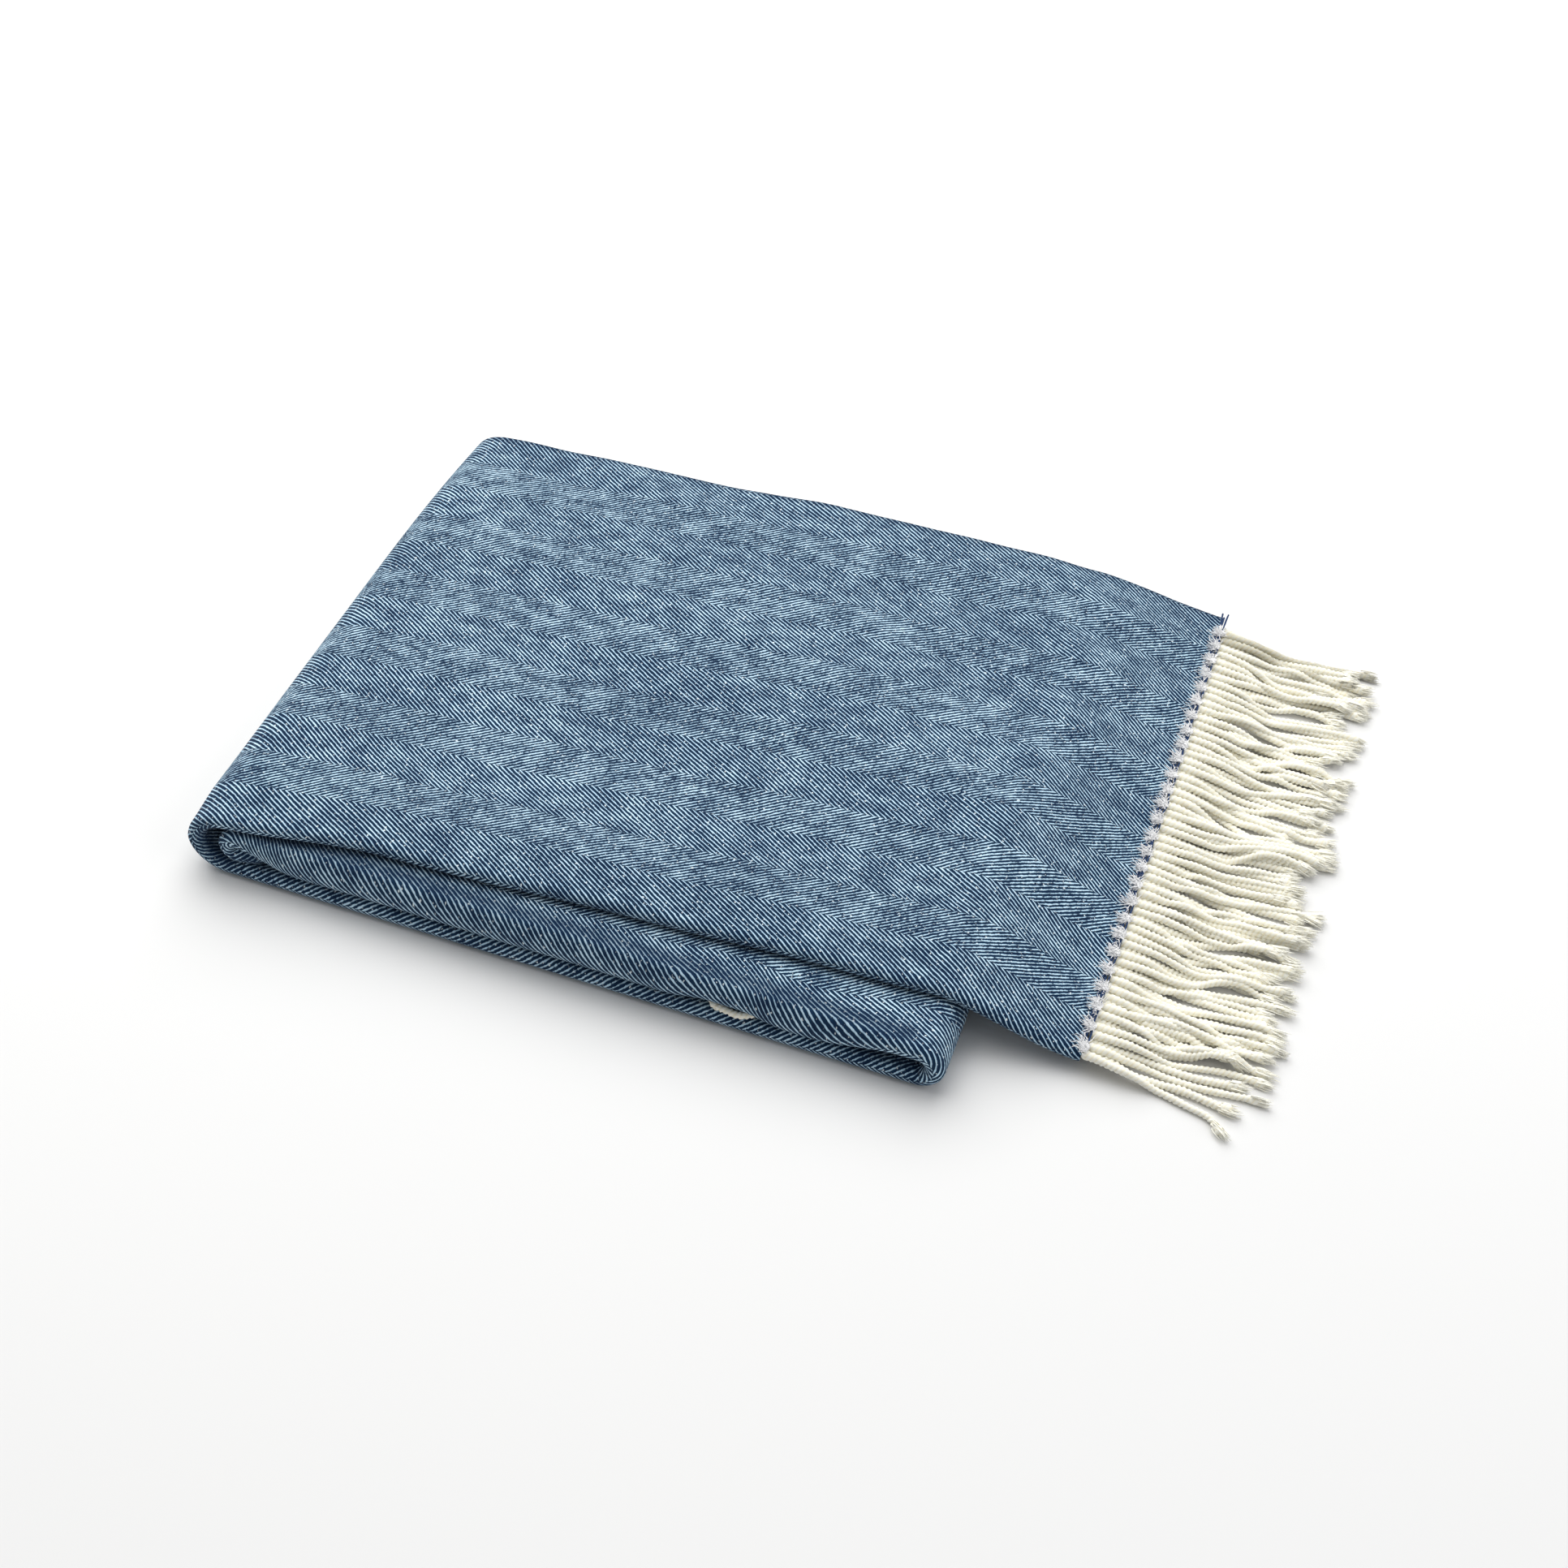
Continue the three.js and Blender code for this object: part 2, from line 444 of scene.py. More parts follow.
@dataclass(frozen=True)
class HerringboneFinish:
    """Navy and off-white twill that turns at every band: the cloth."""

    band: float  # width of one band across the cloth
    line_step: float = 0.0034  # distance between twill lines along the cloth
    lean: float = 0.675  # step across the cloth per step along it, on a twill line
    wide_share: float = 0.53  # share of each pair of bands that the first one takes
    turn_shift: float = 0.45  # of a line, by which the lines break at a band's turn
    pair_shift: float = 0.37  # of a line, from one pair of bands to the next
    wander: float = 0.34  # of a line, by which the lines wave
    wander_scale: float = 260.0
    fuzz_scale: float = 650.0  # loose fibre
    fuzz: float = 0.65  # how far the fibre frays the lines
    soft_fuzz: float = 0.35  # how much further in the softer second bands
    soft_drop: float = 0.35  # how much weaker the lines are there
    soft_lift: float = 0.29  # how much paler the yarn is there
    pale_from: tuple[float, float] = (0.64, 0.90)  # where the yarn turns from navy to pale
    slub_scale: tuple[float, float] = (140.0, 420.0)  # thick places, across and along
    cloud_scale: float = 80.0  # worn patches
    wash_scale: float = 14.0  # broad patches
    worn_pull: float = 0.22  # how far the patches widen the pale lines
    fleck_scale: float = 640.0
    fleck_share: float = 0.75
    crease_shade_share: float = 0.72  # how far the painted shade in creases and along the selvedge goes to navy
    relief: float = 0.0006  # height of a twill line
    navy: tuple = rgba(0.002, 0.016, 0.050)
    white: tuple = rgba(0.63, 0.84, 0.98)
    pale: tuple = rgba(0.23, 0.40, 0.56)
    melange: tuple = rgba(0.012, 0.056, 0.112)
    fleck: tuple = rgba(0.80, 0.90, 0.96)

    def build(self) -> bpy.types.Material:
        """Makes the material of the cloth.

        The mesh carries as weave the place on the flat cloth, across and along, and how much painted shade it takes in
        creases and along the selvedge.

        Returns:
            The material.
        """
        s = Shader("herringbone_cloth")
        across, along, crease_shade = s.parts("weave")
        flat = s.vector(across, along)
        pair = 2.0 * self.band
        turn = (across / pair).fract()
        zigzag = (self.wide_share - (turn - self.wide_share).absolute()) * pair
        side = (turn - self.wide_share).spread(-0.0005, 0.0005, False)
        wobble = s.noise(flat, self.wander_scale, 2.0) - 0.5
        phase = (along + zigzag / self.lean) / self.line_step + wobble * self.wander
        phase = phase + side * self.turn_shift + (across / pair).floor() * self.pair_shift
        line = ((phase * (2.0 * math.pi)).sine() + 1.0) * 0.5
        fuzz = s.noise(flat, self.fuzz_scale, 3.0, 0.6)
        slub_place = s.vector(across * self.slub_scale[0], along * self.slub_scale[1])
        slub = s.noise(slub_place, 1.0, 2.0, 0.6)
        cloud = s.noise(s.vector(across * 1.7, along * 0.8), self.cloud_scale, 3.0, 0.6)
        wash = s.noise(flat, self.wash_scale, 2.0, 0.5)
        worn = (cloud * 0.6 + wash * 0.2 + slub * 0.35 - 0.075).spread(0.36, 0.68)
        ridge = line * (1.0 - side * self.soft_drop) + side * self.soft_lift
        yarn = ridge + (fuzz - 0.5) * (side * self.soft_fuzz + self.fuzz) + (worn - 0.5) * self.worn_pull
        share = yarn.spread(*self.pale_from)
        dark = s.mix_colour(worn * 0.4, self.navy, self.melange)
        light = s.mix_colour(worn * 0.6 + 0.3, self.pale, self.white)
        colour = s.mix_colour(share, dark, light)
        fleck = s.noise(flat, self.fleck_scale, 1.0).spread(0.65, 0.74)
        colour = s.mix_colour(fleck * self.fleck_share, colour, self.fleck)
        # painted shade: creases between the layers and the selvedge go darker, towards navy
        colour = s.mix_colour(crease_shade * self.crease_shade_share, colour, self.navy)
        normal = s.bump(line * 0.8 + fuzz * 0.4, 0.6, self.relief)
        return s.finish(
            Base_Color=colour,
            Roughness=0.95,
            Normal=normal,
            Specular_IOR_Level=0.15,
            Sheen_Weight=0.06,
            Sheen_Roughness=0.5,
            Sheen_Tint=rgba(0.75, 0.85, 1.0),
        )


@dataclass(frozen=True)
class FringeFinish:
    """Soft ivory yarn in twisted cords."""

    light: tuple = rgba(0.99, 0.97, 0.86)
    # darker colour, both painted shade in the grooves and the yarn's uneven patches of tone
    shade_and_patch_colour: tuple = rgba(0.96, 0.89, 0.68)
    fibre_step: float = 0.0007  # between loose fibres across the cord
    fibre_run: float = 0.3  # how much finer they are across the cord than along it
    patch_scale: float = 90.0
    groove_shade_share: float = 0.80  # how far the painted shade in the grooves between the plies goes to the darker colour
    patch_share: float = 0.25  # how far the uneven patches do
    relief: float = 0.0005  # height of the loose fibre
    plies: int = 2

    def build(self) -> bpy.types.Material:
        """Makes the material of the cords.

        The mesh carries as strand the place in the untwisted cord: two parts across, one along.

        Returns:
            The material.
        """
        s = Shader("ivory_yarn")
        side, up, along = s.parts("strand")
        where = s.vector(side, up, along)
        hair_place = s.vector(side, up, along * self.fibre_run)
        hair = s.noise(hair_place, 1.0 / self.fibre_step, 3.0, 0.65)
        patch = s.noise(where, self.patch_scale, 2.0)
        # painted shade: the grooves between the twisted plies go to the darker colour, on top of the uneven patches of
        # tone
        turn = up.angle_to(side) * (self.plies / 2.0)
        groove = 1.0 - (turn + 0.5 * math.pi).sine().absolute()
        shade_and_patch_share = groove.spread(0.25, 0.9) * self.groove_shade_share
        shade_and_patch_share = shade_and_patch_share + patch.spread(0.45, 0.8) * self.patch_share
        colour = s.mix_colour(shade_and_patch_share, self.light, self.shade_and_patch_colour)
        normal = s.bump(hair, 0.6, self.relief)
        return s.finish(
            Base_Color=colour,
            Roughness=0.95,
            Normal=normal,
            Specular_IOR_Level=0.1,
            Subsurface_Weight=0.20,
            Subsurface_Radius=(0.0040, 0.0037, 0.0031),
            Subsurface_Scale=0.10,
            Sheen_Weight=0.2,
        )


@dataclass(frozen=True)
class ThreadFinish:
    """Fine thread or loose fibres of one colour with a twisted look."""

    name: str
    colour: tuple
    dark: tuple
    twist: tuple[float, float] = (2500.0, 5200.0)  # turns of the twist, across and along the thread
    fleck_scale: float = 800.0
    relief: float = 0.0002

    def build(self) -> bpy.types.Material:
        """Makes the material of the thread.

        The mesh carries as strand a place in the thread: two parts across and one along it.

        Returns:
            The material.
        """
        s = Shader(self.name)
        side, up, along = s.parts("strand")
        twist = ((side * self.twist[0] + along * self.twist[1]).sine() + 1.0) * 0.5
        fleck = s.noise(s.vector(side, up, along), self.fleck_scale, 2.0)
        colour = s.mix_colour((twist * 0.5 + fleck * 0.5).least(1.0), self.dark, self.colour)
        return s.finish(
            Base_Color=colour,
            Roughness=0.9,
            Normal=s.bump(twist, 0.3, self.relief),
            Specular_IOR_Level=0.15,
        )


@dataclass(frozen=True)
class FloorFinish:
    """Plain pale floor."""

    colour: tuple = rgba(0.78, 0.78, 0.78)

    def build(self) -> bpy.types.Material:
        """Makes the material."""
        return Shader("pale_floor").finish(Base_Color=self.colour, Roughness=0.9)


# Frame sizes.


@dataclass
class FoldSizes:
    """Sizes of the folded stack, read from the nodes of the frame, in metres."""

    left: float  # end of the left fold, along X
    right: float  # end of the right fold
    hem: float  # where the overhang ends and the fringe starts
    inner_end: float  # where the inner layer ends
    front_at_left: float  # front edge of the layers at the left fold, along Y
    width: float  # from the front edge to the back
    slope: float  # how far the lower layers lie askew, per metre along X
    layer: float  # thickness of one layer
    pitch: float  # from one layer up to the next
    height: float  # of the whole stack at the left fold
    right_height: float  # and at the right fold
    hem_height: float
    fringe: float  # length of a tassel

    @classmethod
    def from_frame(cls) -> "FoldSizes":
        """Works the sizes out of the boxes of the nodes.

        Returns:
            The sizes.
        """
        fold_low, fold_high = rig.box("left_fold_lower")
        layer_low, layer_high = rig.box("bottom_layer")
        inner_low, inner_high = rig.box("inner_layer")
        _, right_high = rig.box("right_fold")
        hem_low, hem_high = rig.box("hem_stitching")
        tassel_low, tassel_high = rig.box("tassel_01")
        fold_run = fold_high[0] - fold_low[0]
        layer_run = layer_high[0] - layer_low[0]
        fold_depth = fold_high[1] - fold_low[1]
        layer_depth = layer_high[1] - layer_low[1]
        slope = (layer_depth - fold_depth) / (layer_run - fold_run)
        width = fold_depth - slope * fold_run
        return cls(
            left=fold_low[0],
            right=right_high[0],
            hem=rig.box("overhang")[1][0],
            inner_end=inner_high[0],
            front_at_left=fold_high[1] - width,
            width=width,
            slope=slope,
            layer=layer_high[2] - layer_low[2],
            pitch=inner_low[2] - layer_low[2],
            height=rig.box("left_fold_upper")[1][2],
            right_height=right_high[2],
            hem_height=(hem_low[2] + hem_high[2]) / 2.0,
            fringe=tassel_high[0] - tassel_low[0],
        )


class Layer(Enum):
    """A stretch of the cloth's length, from the fringed end to the hidden inner end."""

    OVERHANG = "overhang"
    TOP = "top"
    LEFT_FOLD = "left fold"
    BOTTOM = "bottom"
    RIGHT_FOLD = "right fold"
    MIDDLE = "middle"
    INNER_FOLD = "inner fold"
    INNER = "inner"


@dataclass
class Stations:
    """Side view of the cloth's middle line, one entry for each station along its length."""

    x: Array
    z: Array
    normal_x: Array
    normal_z: Array
    layer: list[Layer]
    run: Array  # distance along the cloth


@dataclass
class SideView:
    """Lays out the stations along the folded cloth."""

    sizes: FoldSizes
    finest: float = 0.0028  # between stations on the overhang
    fine: float = 0.0045  # where the cloth shows
    coarse: float = 0.009  # where it hardly shows
    hem_margin: float = 0.002  # how far past the hem the droop runs on
    early_droop: float = 0.55  # share of the droop that starts close to the stack
    left_steps: int = 22  # stations round the left fold
    right_steps: int = 18  # round the right fold
    inner_steps: int = 14  # round the inner fold

    def middle_height(self, level: int) -> float:
        """Height of the middle of a layer counted from the floor, 0 for the lowest."""
        return self.sizes.layer / 2.0 + level * self.sizes.pitch

    @property
    def left_centre(self) -> float:
        """Where the left folds turn, along X."""
        return self.sizes.left + self.sizes.height / 2.0

    @property
    def right_radius(self) -> float:
        """Radius of the right fold's middle line."""
        return (self.sizes.right_height - self.sizes.layer) / 2.0

    @property
    def right_centre(self) -> float:
        """Where the right fold turns, along X."""
        return self.sizes.right - self.right_radius - self.sizes.layer / 2.0

    def settle(self, x: Array) -> Array:
        """How far the upper layers have sunk at x, past the inner layer's end."""
        drop = self.middle_height(2) + self.sizes.layer / 2.0 - self.sizes.right_height
        return drop * ease(self.sizes.inner_end, self.right_centre, x)

    def droop(self, x: Array) -> Array:
        """How far the overhang has come down past the right edge.

        Args:
            x: Places along X.

        Returns:
            The droop at these places, in metres.
        """
        drop = self.middle_height(3) - self.settle(self.sizes.right) - self.sizes.hem_height
        reach = self.sizes.hem + self.hem_margin - self.right_centre
        share = np.clip((x - self.right_centre) / reach, 0.0, 1.0)
        early = self.early_droop * share**1.3 * (2.0 - share)
        return drop * (early + (1.0 - self.early_droop) * ease(0.0, 1.0, share))

    def _line(self, start: float, end: float, level: int, step: float) -> tuple[Array, Array]:
        """A level stretch of stations.

        Args:
            start: Where it starts, along X.
            end: Where it ends.
            level: Number of the layer, counted from the floor.
            step: Distance between stations.

        Returns:
            The stations' X and Z.
        """
        count = max(2, round(abs(end - start) / step))
        x = np.linspace(start, end, count + 1)
        z = np.full_like(x, self.middle_height(level))
        if level >= 2:
            z = z - self.settle(x)
        if level == 3:
            z = z - self.droop(x)
        return x, z

    @staticmethod
    def _arc(x: float, z: float, radius: float, start: float, count: int) -> tuple[Array, Array]:
        """A half turn of stations about x, z, counter-clockwise from a start angle in degrees."""
        angle = np.radians(np.linspace(start, start + 180.0, count + 1))
        return x + radius * np.cos(angle), z + radius * np.sin(angle)

    def stations(self) -> Stations:
        """Lays out all stations.

        Returns:
            The stations, from the hem of the overhang to the inner end.
        """
        low, inner, middle, top = (self.middle_height(i) for i in range(4))
        left, right = self.left_centre, self.right_centre
        edge, radius, half = self.sizes.right, self.right_radius, (middle - inner) / 2
        stretches = [
            (Layer.OVERHANG, self._line(self.sizes.hem, edge, 3, self.finest)),
            (Layer.TOP, self._line(edge, left, 3, self.fine)),
            (Layer.LEFT_FOLD, self._arc(left, (low + top) / 2, (top - low) / 2, 90.0, self.left_steps)),
            (Layer.BOTTOM, self._line(left, right, 0, self.coarse)),
            (Layer.RIGHT_FOLD, self._arc(right, low + radius, radius, -90.0, self.right_steps)),
            (Layer.MIDDLE, self._line(right, left, 2, self.fine)),
            (Layer.INNER_FOLD, self._arc(left, (inner + middle) / 2, half, 90.0, self.inner_steps)),
            (Layer.INNER, self._line(left, self.sizes.inner_end, 1, self.coarse)),
        ]
        xs: list[Array] = []
        zs: list[Array] = []
        layers: list[Layer] = []
        for index, (layer, (x, z)) in enumerate(stretches):
            first = 0 if index == 0 else 1
            xs.append(x[first:])
            zs.append(z[first:])
            layers += [layer] * (len(x) - first)
        x, z = np.concatenate(xs), np.concatenate(zs)
        run = np.concatenate([[0.0], np.cumsum(np.hypot(np.diff(x), np.diff(z)))])
        tangent_x, tangent_z = np.gradient(x, run), np.gradient(z, run)
        length = np.hypot(tangent_x, tangent_z)
        return Stations(x, z, tangent_z / length, -tangent_x / length, layers, run)


@dataclass
class FrontView:
    """Lays out the cloth's width: folded in four, with the folds towards the front and back."""

    width: float
    ply_pitch: float
    fine: float = 0.0045  # between points on the ply that shows on top
    medium: float = 0.010  # on the ply under the stack
    coarse: float = 0.018  # on the two plies inside
    big_steps: int = 14  # points round the front fold
    small_steps: int = 8  # round the back fold
    nose_steps: int = 6  # round the fold inside
    selvedge_short: float = 0.004  # how far the inner selvedge stops short of the outer one

    def section(self) -> tuple[Array, Array, Array]:
        """Points across the cloth.

        Returns:
            Distance across the flat cloth, place from the front edge, and height above the
            layer's middle, from the selvedge that shows to the one inside.
        """
        big, small = 1.5 * self.ply_pitch, 0.5 * self.ply_pitch
        back = self.width
        nose = big + small * 0.5
        pieces = [
            self._flat(back, big, big, self.fine),
            self._turn(big, 0.0, big, 90.0, self.big_steps),
            self._flat(big, back - small, -big, self.medium),
            self._turn(back - small, -self.ply_pitch, small, 270.0, self.small_steps),
            self._flat(back - small, nose, -small, self.coarse),
            self._turn(nose, 0.0, small, 270.0, self.nose_steps, -1.0),
            self._flat(nose, back - self.selvedge_short, small, self.coarse),
        ]
        y = np.concatenate([p[0] if i == 0 else p[0][1:] for i, p in enumerate(pieces)])
        n = np.concatenate([p[1] if i == 0 else p[1][1:] for i, p in enumerate(pieces)])
        across = np.concatenate([[0.0], np.cumsum(np.hypot(np.diff(y), np.diff(n)))])
        return across, y, n

    @staticmethod
    def _flat(start: float, end: float, height: float, step: float) -> tuple[Array, Array]:
        """A flat ply.

        Args:
            start: Place from the front edge where it starts.
            end: Where it ends.
            height: Its height above the layer's middle.
            step: Distance between points, at least.

        Returns:
            The points' place from the front edge and height.
        """
        count = max(2, int(abs(end - start) / step))
        y = np.linspace(start, end, count + 1)
        return y, np.full_like(y, height)

    @staticmethod
    def _turn(
        y: float, n: float, radius: float, start: float, count: int, way: float = 1.0
    ) -> tuple[Array, Array]:
        """A half turn about a centre, from a start angle, counter-clockwise where way is 1."""
        angle = np.radians(start + way * np.linspace(0.0, 180.0, count + 1))
        return y + radius * np.cos(angle), n + radius * np.sin(angle)


# Meshes.


@dataclass
class MeshParts:
    """Collects points, faces and a vector for each point, and makes one object of them."""

    points: list[Array] = field(default_factory=list)
    marks: list[Array] = field(default_factory=list)
    normals: list[Array] = field(default_factory=list)
    faces: list[list[int]] = field(default_factory=list)
    total: int = 0

    def add(self, points: Array, faces: Sequence, marks: Array, normals: Array | None = None) -> None:
        """Adds points, the faces between them and their marks.

        Args:
            points: Places, one row each.
            faces: Point numbers of each face, counted from 0 in these points.
            marks: The vector of each point, one row each.
            normals: Normals of the points, if the object is to have its own.
        """
        self.points.append(points)
        self.marks.append(marks)
        if normals is not None:
            self.normals.append(normals)
        offset = self.total
        if isinstance(faces, np.ndarray):
            self.faces += (faces + offset).tolist()
        else:
            self.faces += [[number + offset for number in face] for face in faces]
        self.total += len(points)

    def build(self, name: str, attribute: str, material: bpy.types.Material) -> bpy.types.Object:
        """Makes the object.

        Args:
            name: The piece's name.
            attribute: Name under which the mesh carries the marks.
            material: The piece's finish.

        Returns:
            The object, smooth shaded and linked to the scene.
        """
        mesh = bpy.data.meshes.new(name)
        mesh.from_pydata(np.concatenate(self.points).tolist(), [], self.faces)
        held = mesh.attributes.new(attribute, "FLOAT_VECTOR", "POINT")
        held.data.foreach_set("vector", np.concatenate(self.marks).astype(np.float32).ravel())
        mesh.polygons.foreach_set("use_smooth", [True] * len(mesh.polygons))
        mesh.materials.append(material)
        mesh.update()
        if self.normals:
            mesh.normals_split_custom_set_from_vertices(np.concatenate(self.normals).tolist())
        piece = bpy.data.objects.new(name, mesh)
        bpy.context.scene.collection.objects.link(piece)
        return piece


def tube_faces(rings: int, sides: int) -> Array:
    """Faces of a tube.

    Args:
        rings: How many rings of points it has along it.
        sides: How many points each ring has.

    Returns:
        Four point numbers for each face, by ring and side.
    """
    ring = np.arange(sides)
    after = (ring + 1) % sides
    base = (np.arange(rings - 1) * sides)[:, None]
    return np.stack([base + ring, base + after, base + after + sides, base + ring + sides], -1)


@dataclass
class Strand:
    """A cord along a path, with twisted plies."""

    plies: int = 2
    groove: float = 0.50  # depth between the plies, as a share of the radius
    opened: float = 0.7  # share of that depth which goes where the plies come open
    lay: float = 0.0050  # length of one turn of the twist
    sides: int = 12

    def mesh(
        self, parts: MeshParts, path: Array, radius: Array, seed: float = 0.0, loose: Any = 0.0
    ) -> None:
        """Adds the cord to a mesh.

        Args:
            parts: Where it is added.
            path: Middle line, one row for each ring.
            radius: Radius at each ring.
            seed: Turn of the twist at the start, in radians.
            loose: How far the plies have come open at each ring, from 0 to 1.
        """
        step = np.gradient(path, axis=0)
        length = np.linalg.norm(step, axis=1, keepdims=True)
        ahead = step / np.maximum(length, 1e-9)
        side = np.cross(ahead, (0.0, 0.0, 1.0))
        side = side / np.maximum(np.linalg.norm(side, axis=1, keepdims=True), 1e-9)
        up = np.cross(side, ahead)
        along = np.concatenate([[0.0], np.cumsum(np.linalg.norm(np.diff(path, axis=0), axis=1))])
        angle = np.linspace(0.0, 2.0 * math.pi, self.sides, endpoint=False)[None, :]
        turn = angle - (along * 2.0 * math.pi / self.lay)[:, None] + seed
        groove = self.groove * (1.0 - np.abs(np.cos(self.plies * turn / 2.0)))
        groove = groove * (1.0 - np.asarray(loose, float).reshape(-1, 1) * self.opened)
        reach = (radius[:, None] * (1.0 - groove))[..., None]
        points = path[:, None] + reach * (
            side[:, None] * np.cos(angle)[..., None] + up[:, None] * np.sin(angle)[..., None]
        )
        marks = np.stack(
            [
                radius[:, None] * np.cos(turn),
                radius[:, None] * np.sin(turn),
                np.broadcast_to(along[:, None] + seed, turn.shape),
            ],
            -1,
        )
        ring = np.arange(self.sides)
        faces = tube_faces(len(path), self.sides).reshape(-1, 4).tolist()
        faces.append(ring[::-1].tolist())
        faces.append((ring + (len(path) - 1) * self.sides).tolist())
        parts.add(points.reshape(-1, 3), faces, marks.reshape(-1, 3))


def add_fibres(parts: MeshParts, start: Array, middle: Array, end: Array, radius: float) -> None:
    """Adds fine curved fibres.

    Args:
        parts: Where they are added.
        start: Where each one starts, one row each.
        middle: The point that each one bends towards.
        end: Where each one ends.
        radius: Radius at the start; each one tapers to a point.
    """
    shares = np.array([0.0, 0.35, 0.7, 1.0])  # where its rings are along it
    widths = np.array([1.0, 0.95, 0.75, 0.25]) * radius
    sides = 3
    angle = np.linspace(0.0, 2.0 * math.pi, sides, endpoint=False)
    count = len(start)
    ahead = end - start
    ahead = ahead / np.maximum(np.linalg.norm(ahead, axis=1, keepdims=True), 1e-9)
    helper = np.where(np.abs(ahead[:, 2:]) > 0.8, [[1.0, 0.0, 0.0]], [[0.0, 0.0, 1.0]])
    side = np.cross(ahead, helper)
    side = side / np.linalg.norm(side, axis=1, keepdims=True)
    up = np.cross(side, ahead)
    t = shares[None, :, None]
    line = (1 - t) ** 2 * start[:, None] + 2 * t * (1 - t) * middle[:, None] + t**2 * end[:, None]
    around = side[:, None, None] * np.cos(angle)[:, None] + up[:, None, None] * np.sin(angle)[:, None]
    points = line[:, :, None] + around * widths[None, :, None, None]
    first = (np.arange(count) * len(shares) * sides)[:, None]
    ring = np.arange(sides)
    quads = tube_faces(len(shares), sides).reshape(1, -1, 4) + first[..., None]
    tip = (ring + (len(shares) - 1) * sides)[None] + first
    tail = ring[::-1][None] + first
    faces = quads.reshape(-1, 4).tolist() + tip.tolist() + tail.tolist()
    flat = points.reshape(-1, 3)
    parts.add(flat, faces, flat)


# The cloth.


@dataclass
class ThrowCloth:
    """The woven cloth: folded in four across and rolled up in four layers along."""

    sizes: FoldSizes
    bands: int = 13  # bands across the part that shows
    thickness: float = 0.0020
    ply_pitch: float = 0.0026
    nose_back: float = 0.006  # how far the top layer's soft front edge lies back
    top_softness: float = 0.026  # depth over which the top layer slopes to its front
    top_thin: float = 0.26  # share by which it is thinner there
    top_low: float = 0.0017  # how much lower it lies there
    tall_drop: float = 0.0095  # how far the middle layer's front hangs over the inner one
    tall_round: float = 0.0012  # how far its upper edge is rounded off
    inner_back: float = 0.021  # how far the inner layer's front lies back
    inner_fold_in: float = 0.007  # how far the inner fold lies in at its front
    mouth: float = 0.42  # share by which that front lifts over the inner end
    face_share: float = 0.0075  # how far the herringbone is drawn down over that front
    unevenness: float = 0.022  # share of its height by which the stack is uneven
    rear_sink: float = 0.26  # share by which the stack is lower at its right rear
    front_bend: float = 0.0016  # how far the layers' fronts wave
    puff: float = 0.0006  # height of the small rumples on top
    left_lean: tuple[float, ...] = (0.0020, 0.0020, 0.0035)  # how the left end lies askew
    bow: float = 0.0011  # how far the bands wave across the cloth
    sway: float = 0.0016  # and along it
    selvedge: float = 0.004  # width of the painted shade along the selvedge
    selvedge_shade: float = 0.8  # how dark the painted shade along the selvedge is, where the shade in the darkest creases is 1
    low_crease_shade: float = 0.8  # how dark the painted shade is in the creases at the inner or bottom layer

    def __post_init__(self) -> None:
        """Lays out the views and the grid of the cloth's middle surface."""
        self.side = SideView(self.sizes)
        self.line = self.side.stations()
        self.front = FrontView(self.sizes.width, self.ply_pitch)
        self.across, self.depth, self.lift = self.front.section()
        self.points = self._place()
        self.normals = self._normals()

    @property
    def band(self) -> float:
        """Width of one herringbone band."""
        return self.sizes.width / self.bands

    def _share_of(self, layer: Layer) -> Array:
        """1 at the stations of this layer, else 0."""
        return np.array([1.0 if one is layer else 0.0 for one in self.line.layer])

    def _tall(self) -> Array:
        """How far the front of the middle layer hangs over the inner one.

        Returns:
            Its share of the whole drop, at each station.
        """
        x = self.line.x
        left, right = self.side.left_centre, self.side.right_centre
        tall = self._share_of(Layer.MIDDLE) * ease(left - 0.002, left + 0.036, x)
        tall = tall * (1.0 - ease(right - 0.055, right - 0.004, x))
        end = self.sizes.inner_end
        return tall * (1.0 - self.mouth * bump_between(end + 0.004, end + 0.020, 0.022, x))

    def _upper(self) -> Array:
        """1 at the stations from the overhang to the middle of the left fold, else 0."""
        upper = self._share_of(Layer.OVERHANG) + self._share_of(Layer.TOP)
        return upper + self._share_of(Layer.LEFT_FOLD) * (self.line.z > self.sizes.height / 2.0)

    def _fronts(self) -> tuple[Array, Array]:
        """Shapes each layer's front.

        Returns:
            Place from the front edge and height above the layer's middle, at every grid point.
        """
        line, sizes = self.line, self.sizes
        left = self.side.left_centre
        x = line.x
        middle_z = sizes.height / 2.0
        top_fold = self._share_of(Layer.LEFT_FOLD) * ease(middle_z - 0.004, middle_z + 0.014, line.z)
        on_top = self._share_of(Layer.OVERHANG) + self._share_of(Layer.TOP) + top_fold
        tall = self._tall()
        back = self._share_of(Layer.INNER) * ease(left + 0.002, left + 0.040, x)
        back = back * (1.0 - 0.45 * ease(sizes.inner_end - 0.045, sizes.inner_end - 0.005, x))

        big = 1.5 * self.ply_pitch
        y = np.broadcast_to(self.depth, (len(x), len(self.depth))).copy()
        n = np.broadcast_to(self.lift, y.shape).copy()
        soft = on_top[:, None] * (1.0 - ease(0.0, self.top_softness, y))
        hang = tall[:, None] * (1.0 - ease(0.005, 0.027, y)) * np.clip((big - n) / (2 * big), 0, 1)
        round_top = tall[:, None] * (1.0 - ease(0.0, 0.022, y)) * self.tall_round
        lag = on_top * ease(sizes.left + 0.01, sizes.left + 0.10, x)
        y_new = y + (self.nose_back * lag)[:, None] * (1.0 - ease(0.0, 0.07, y))
        y_new = y_new + self.inner_back * back[:, None] * (1.0 - ease(0.0, 0.11, y))
        n_new = n * (1.0 - self.top_thin * soft) - self.top_low * soft - self.tall_drop * hang - round_top
        return y_new, n_new

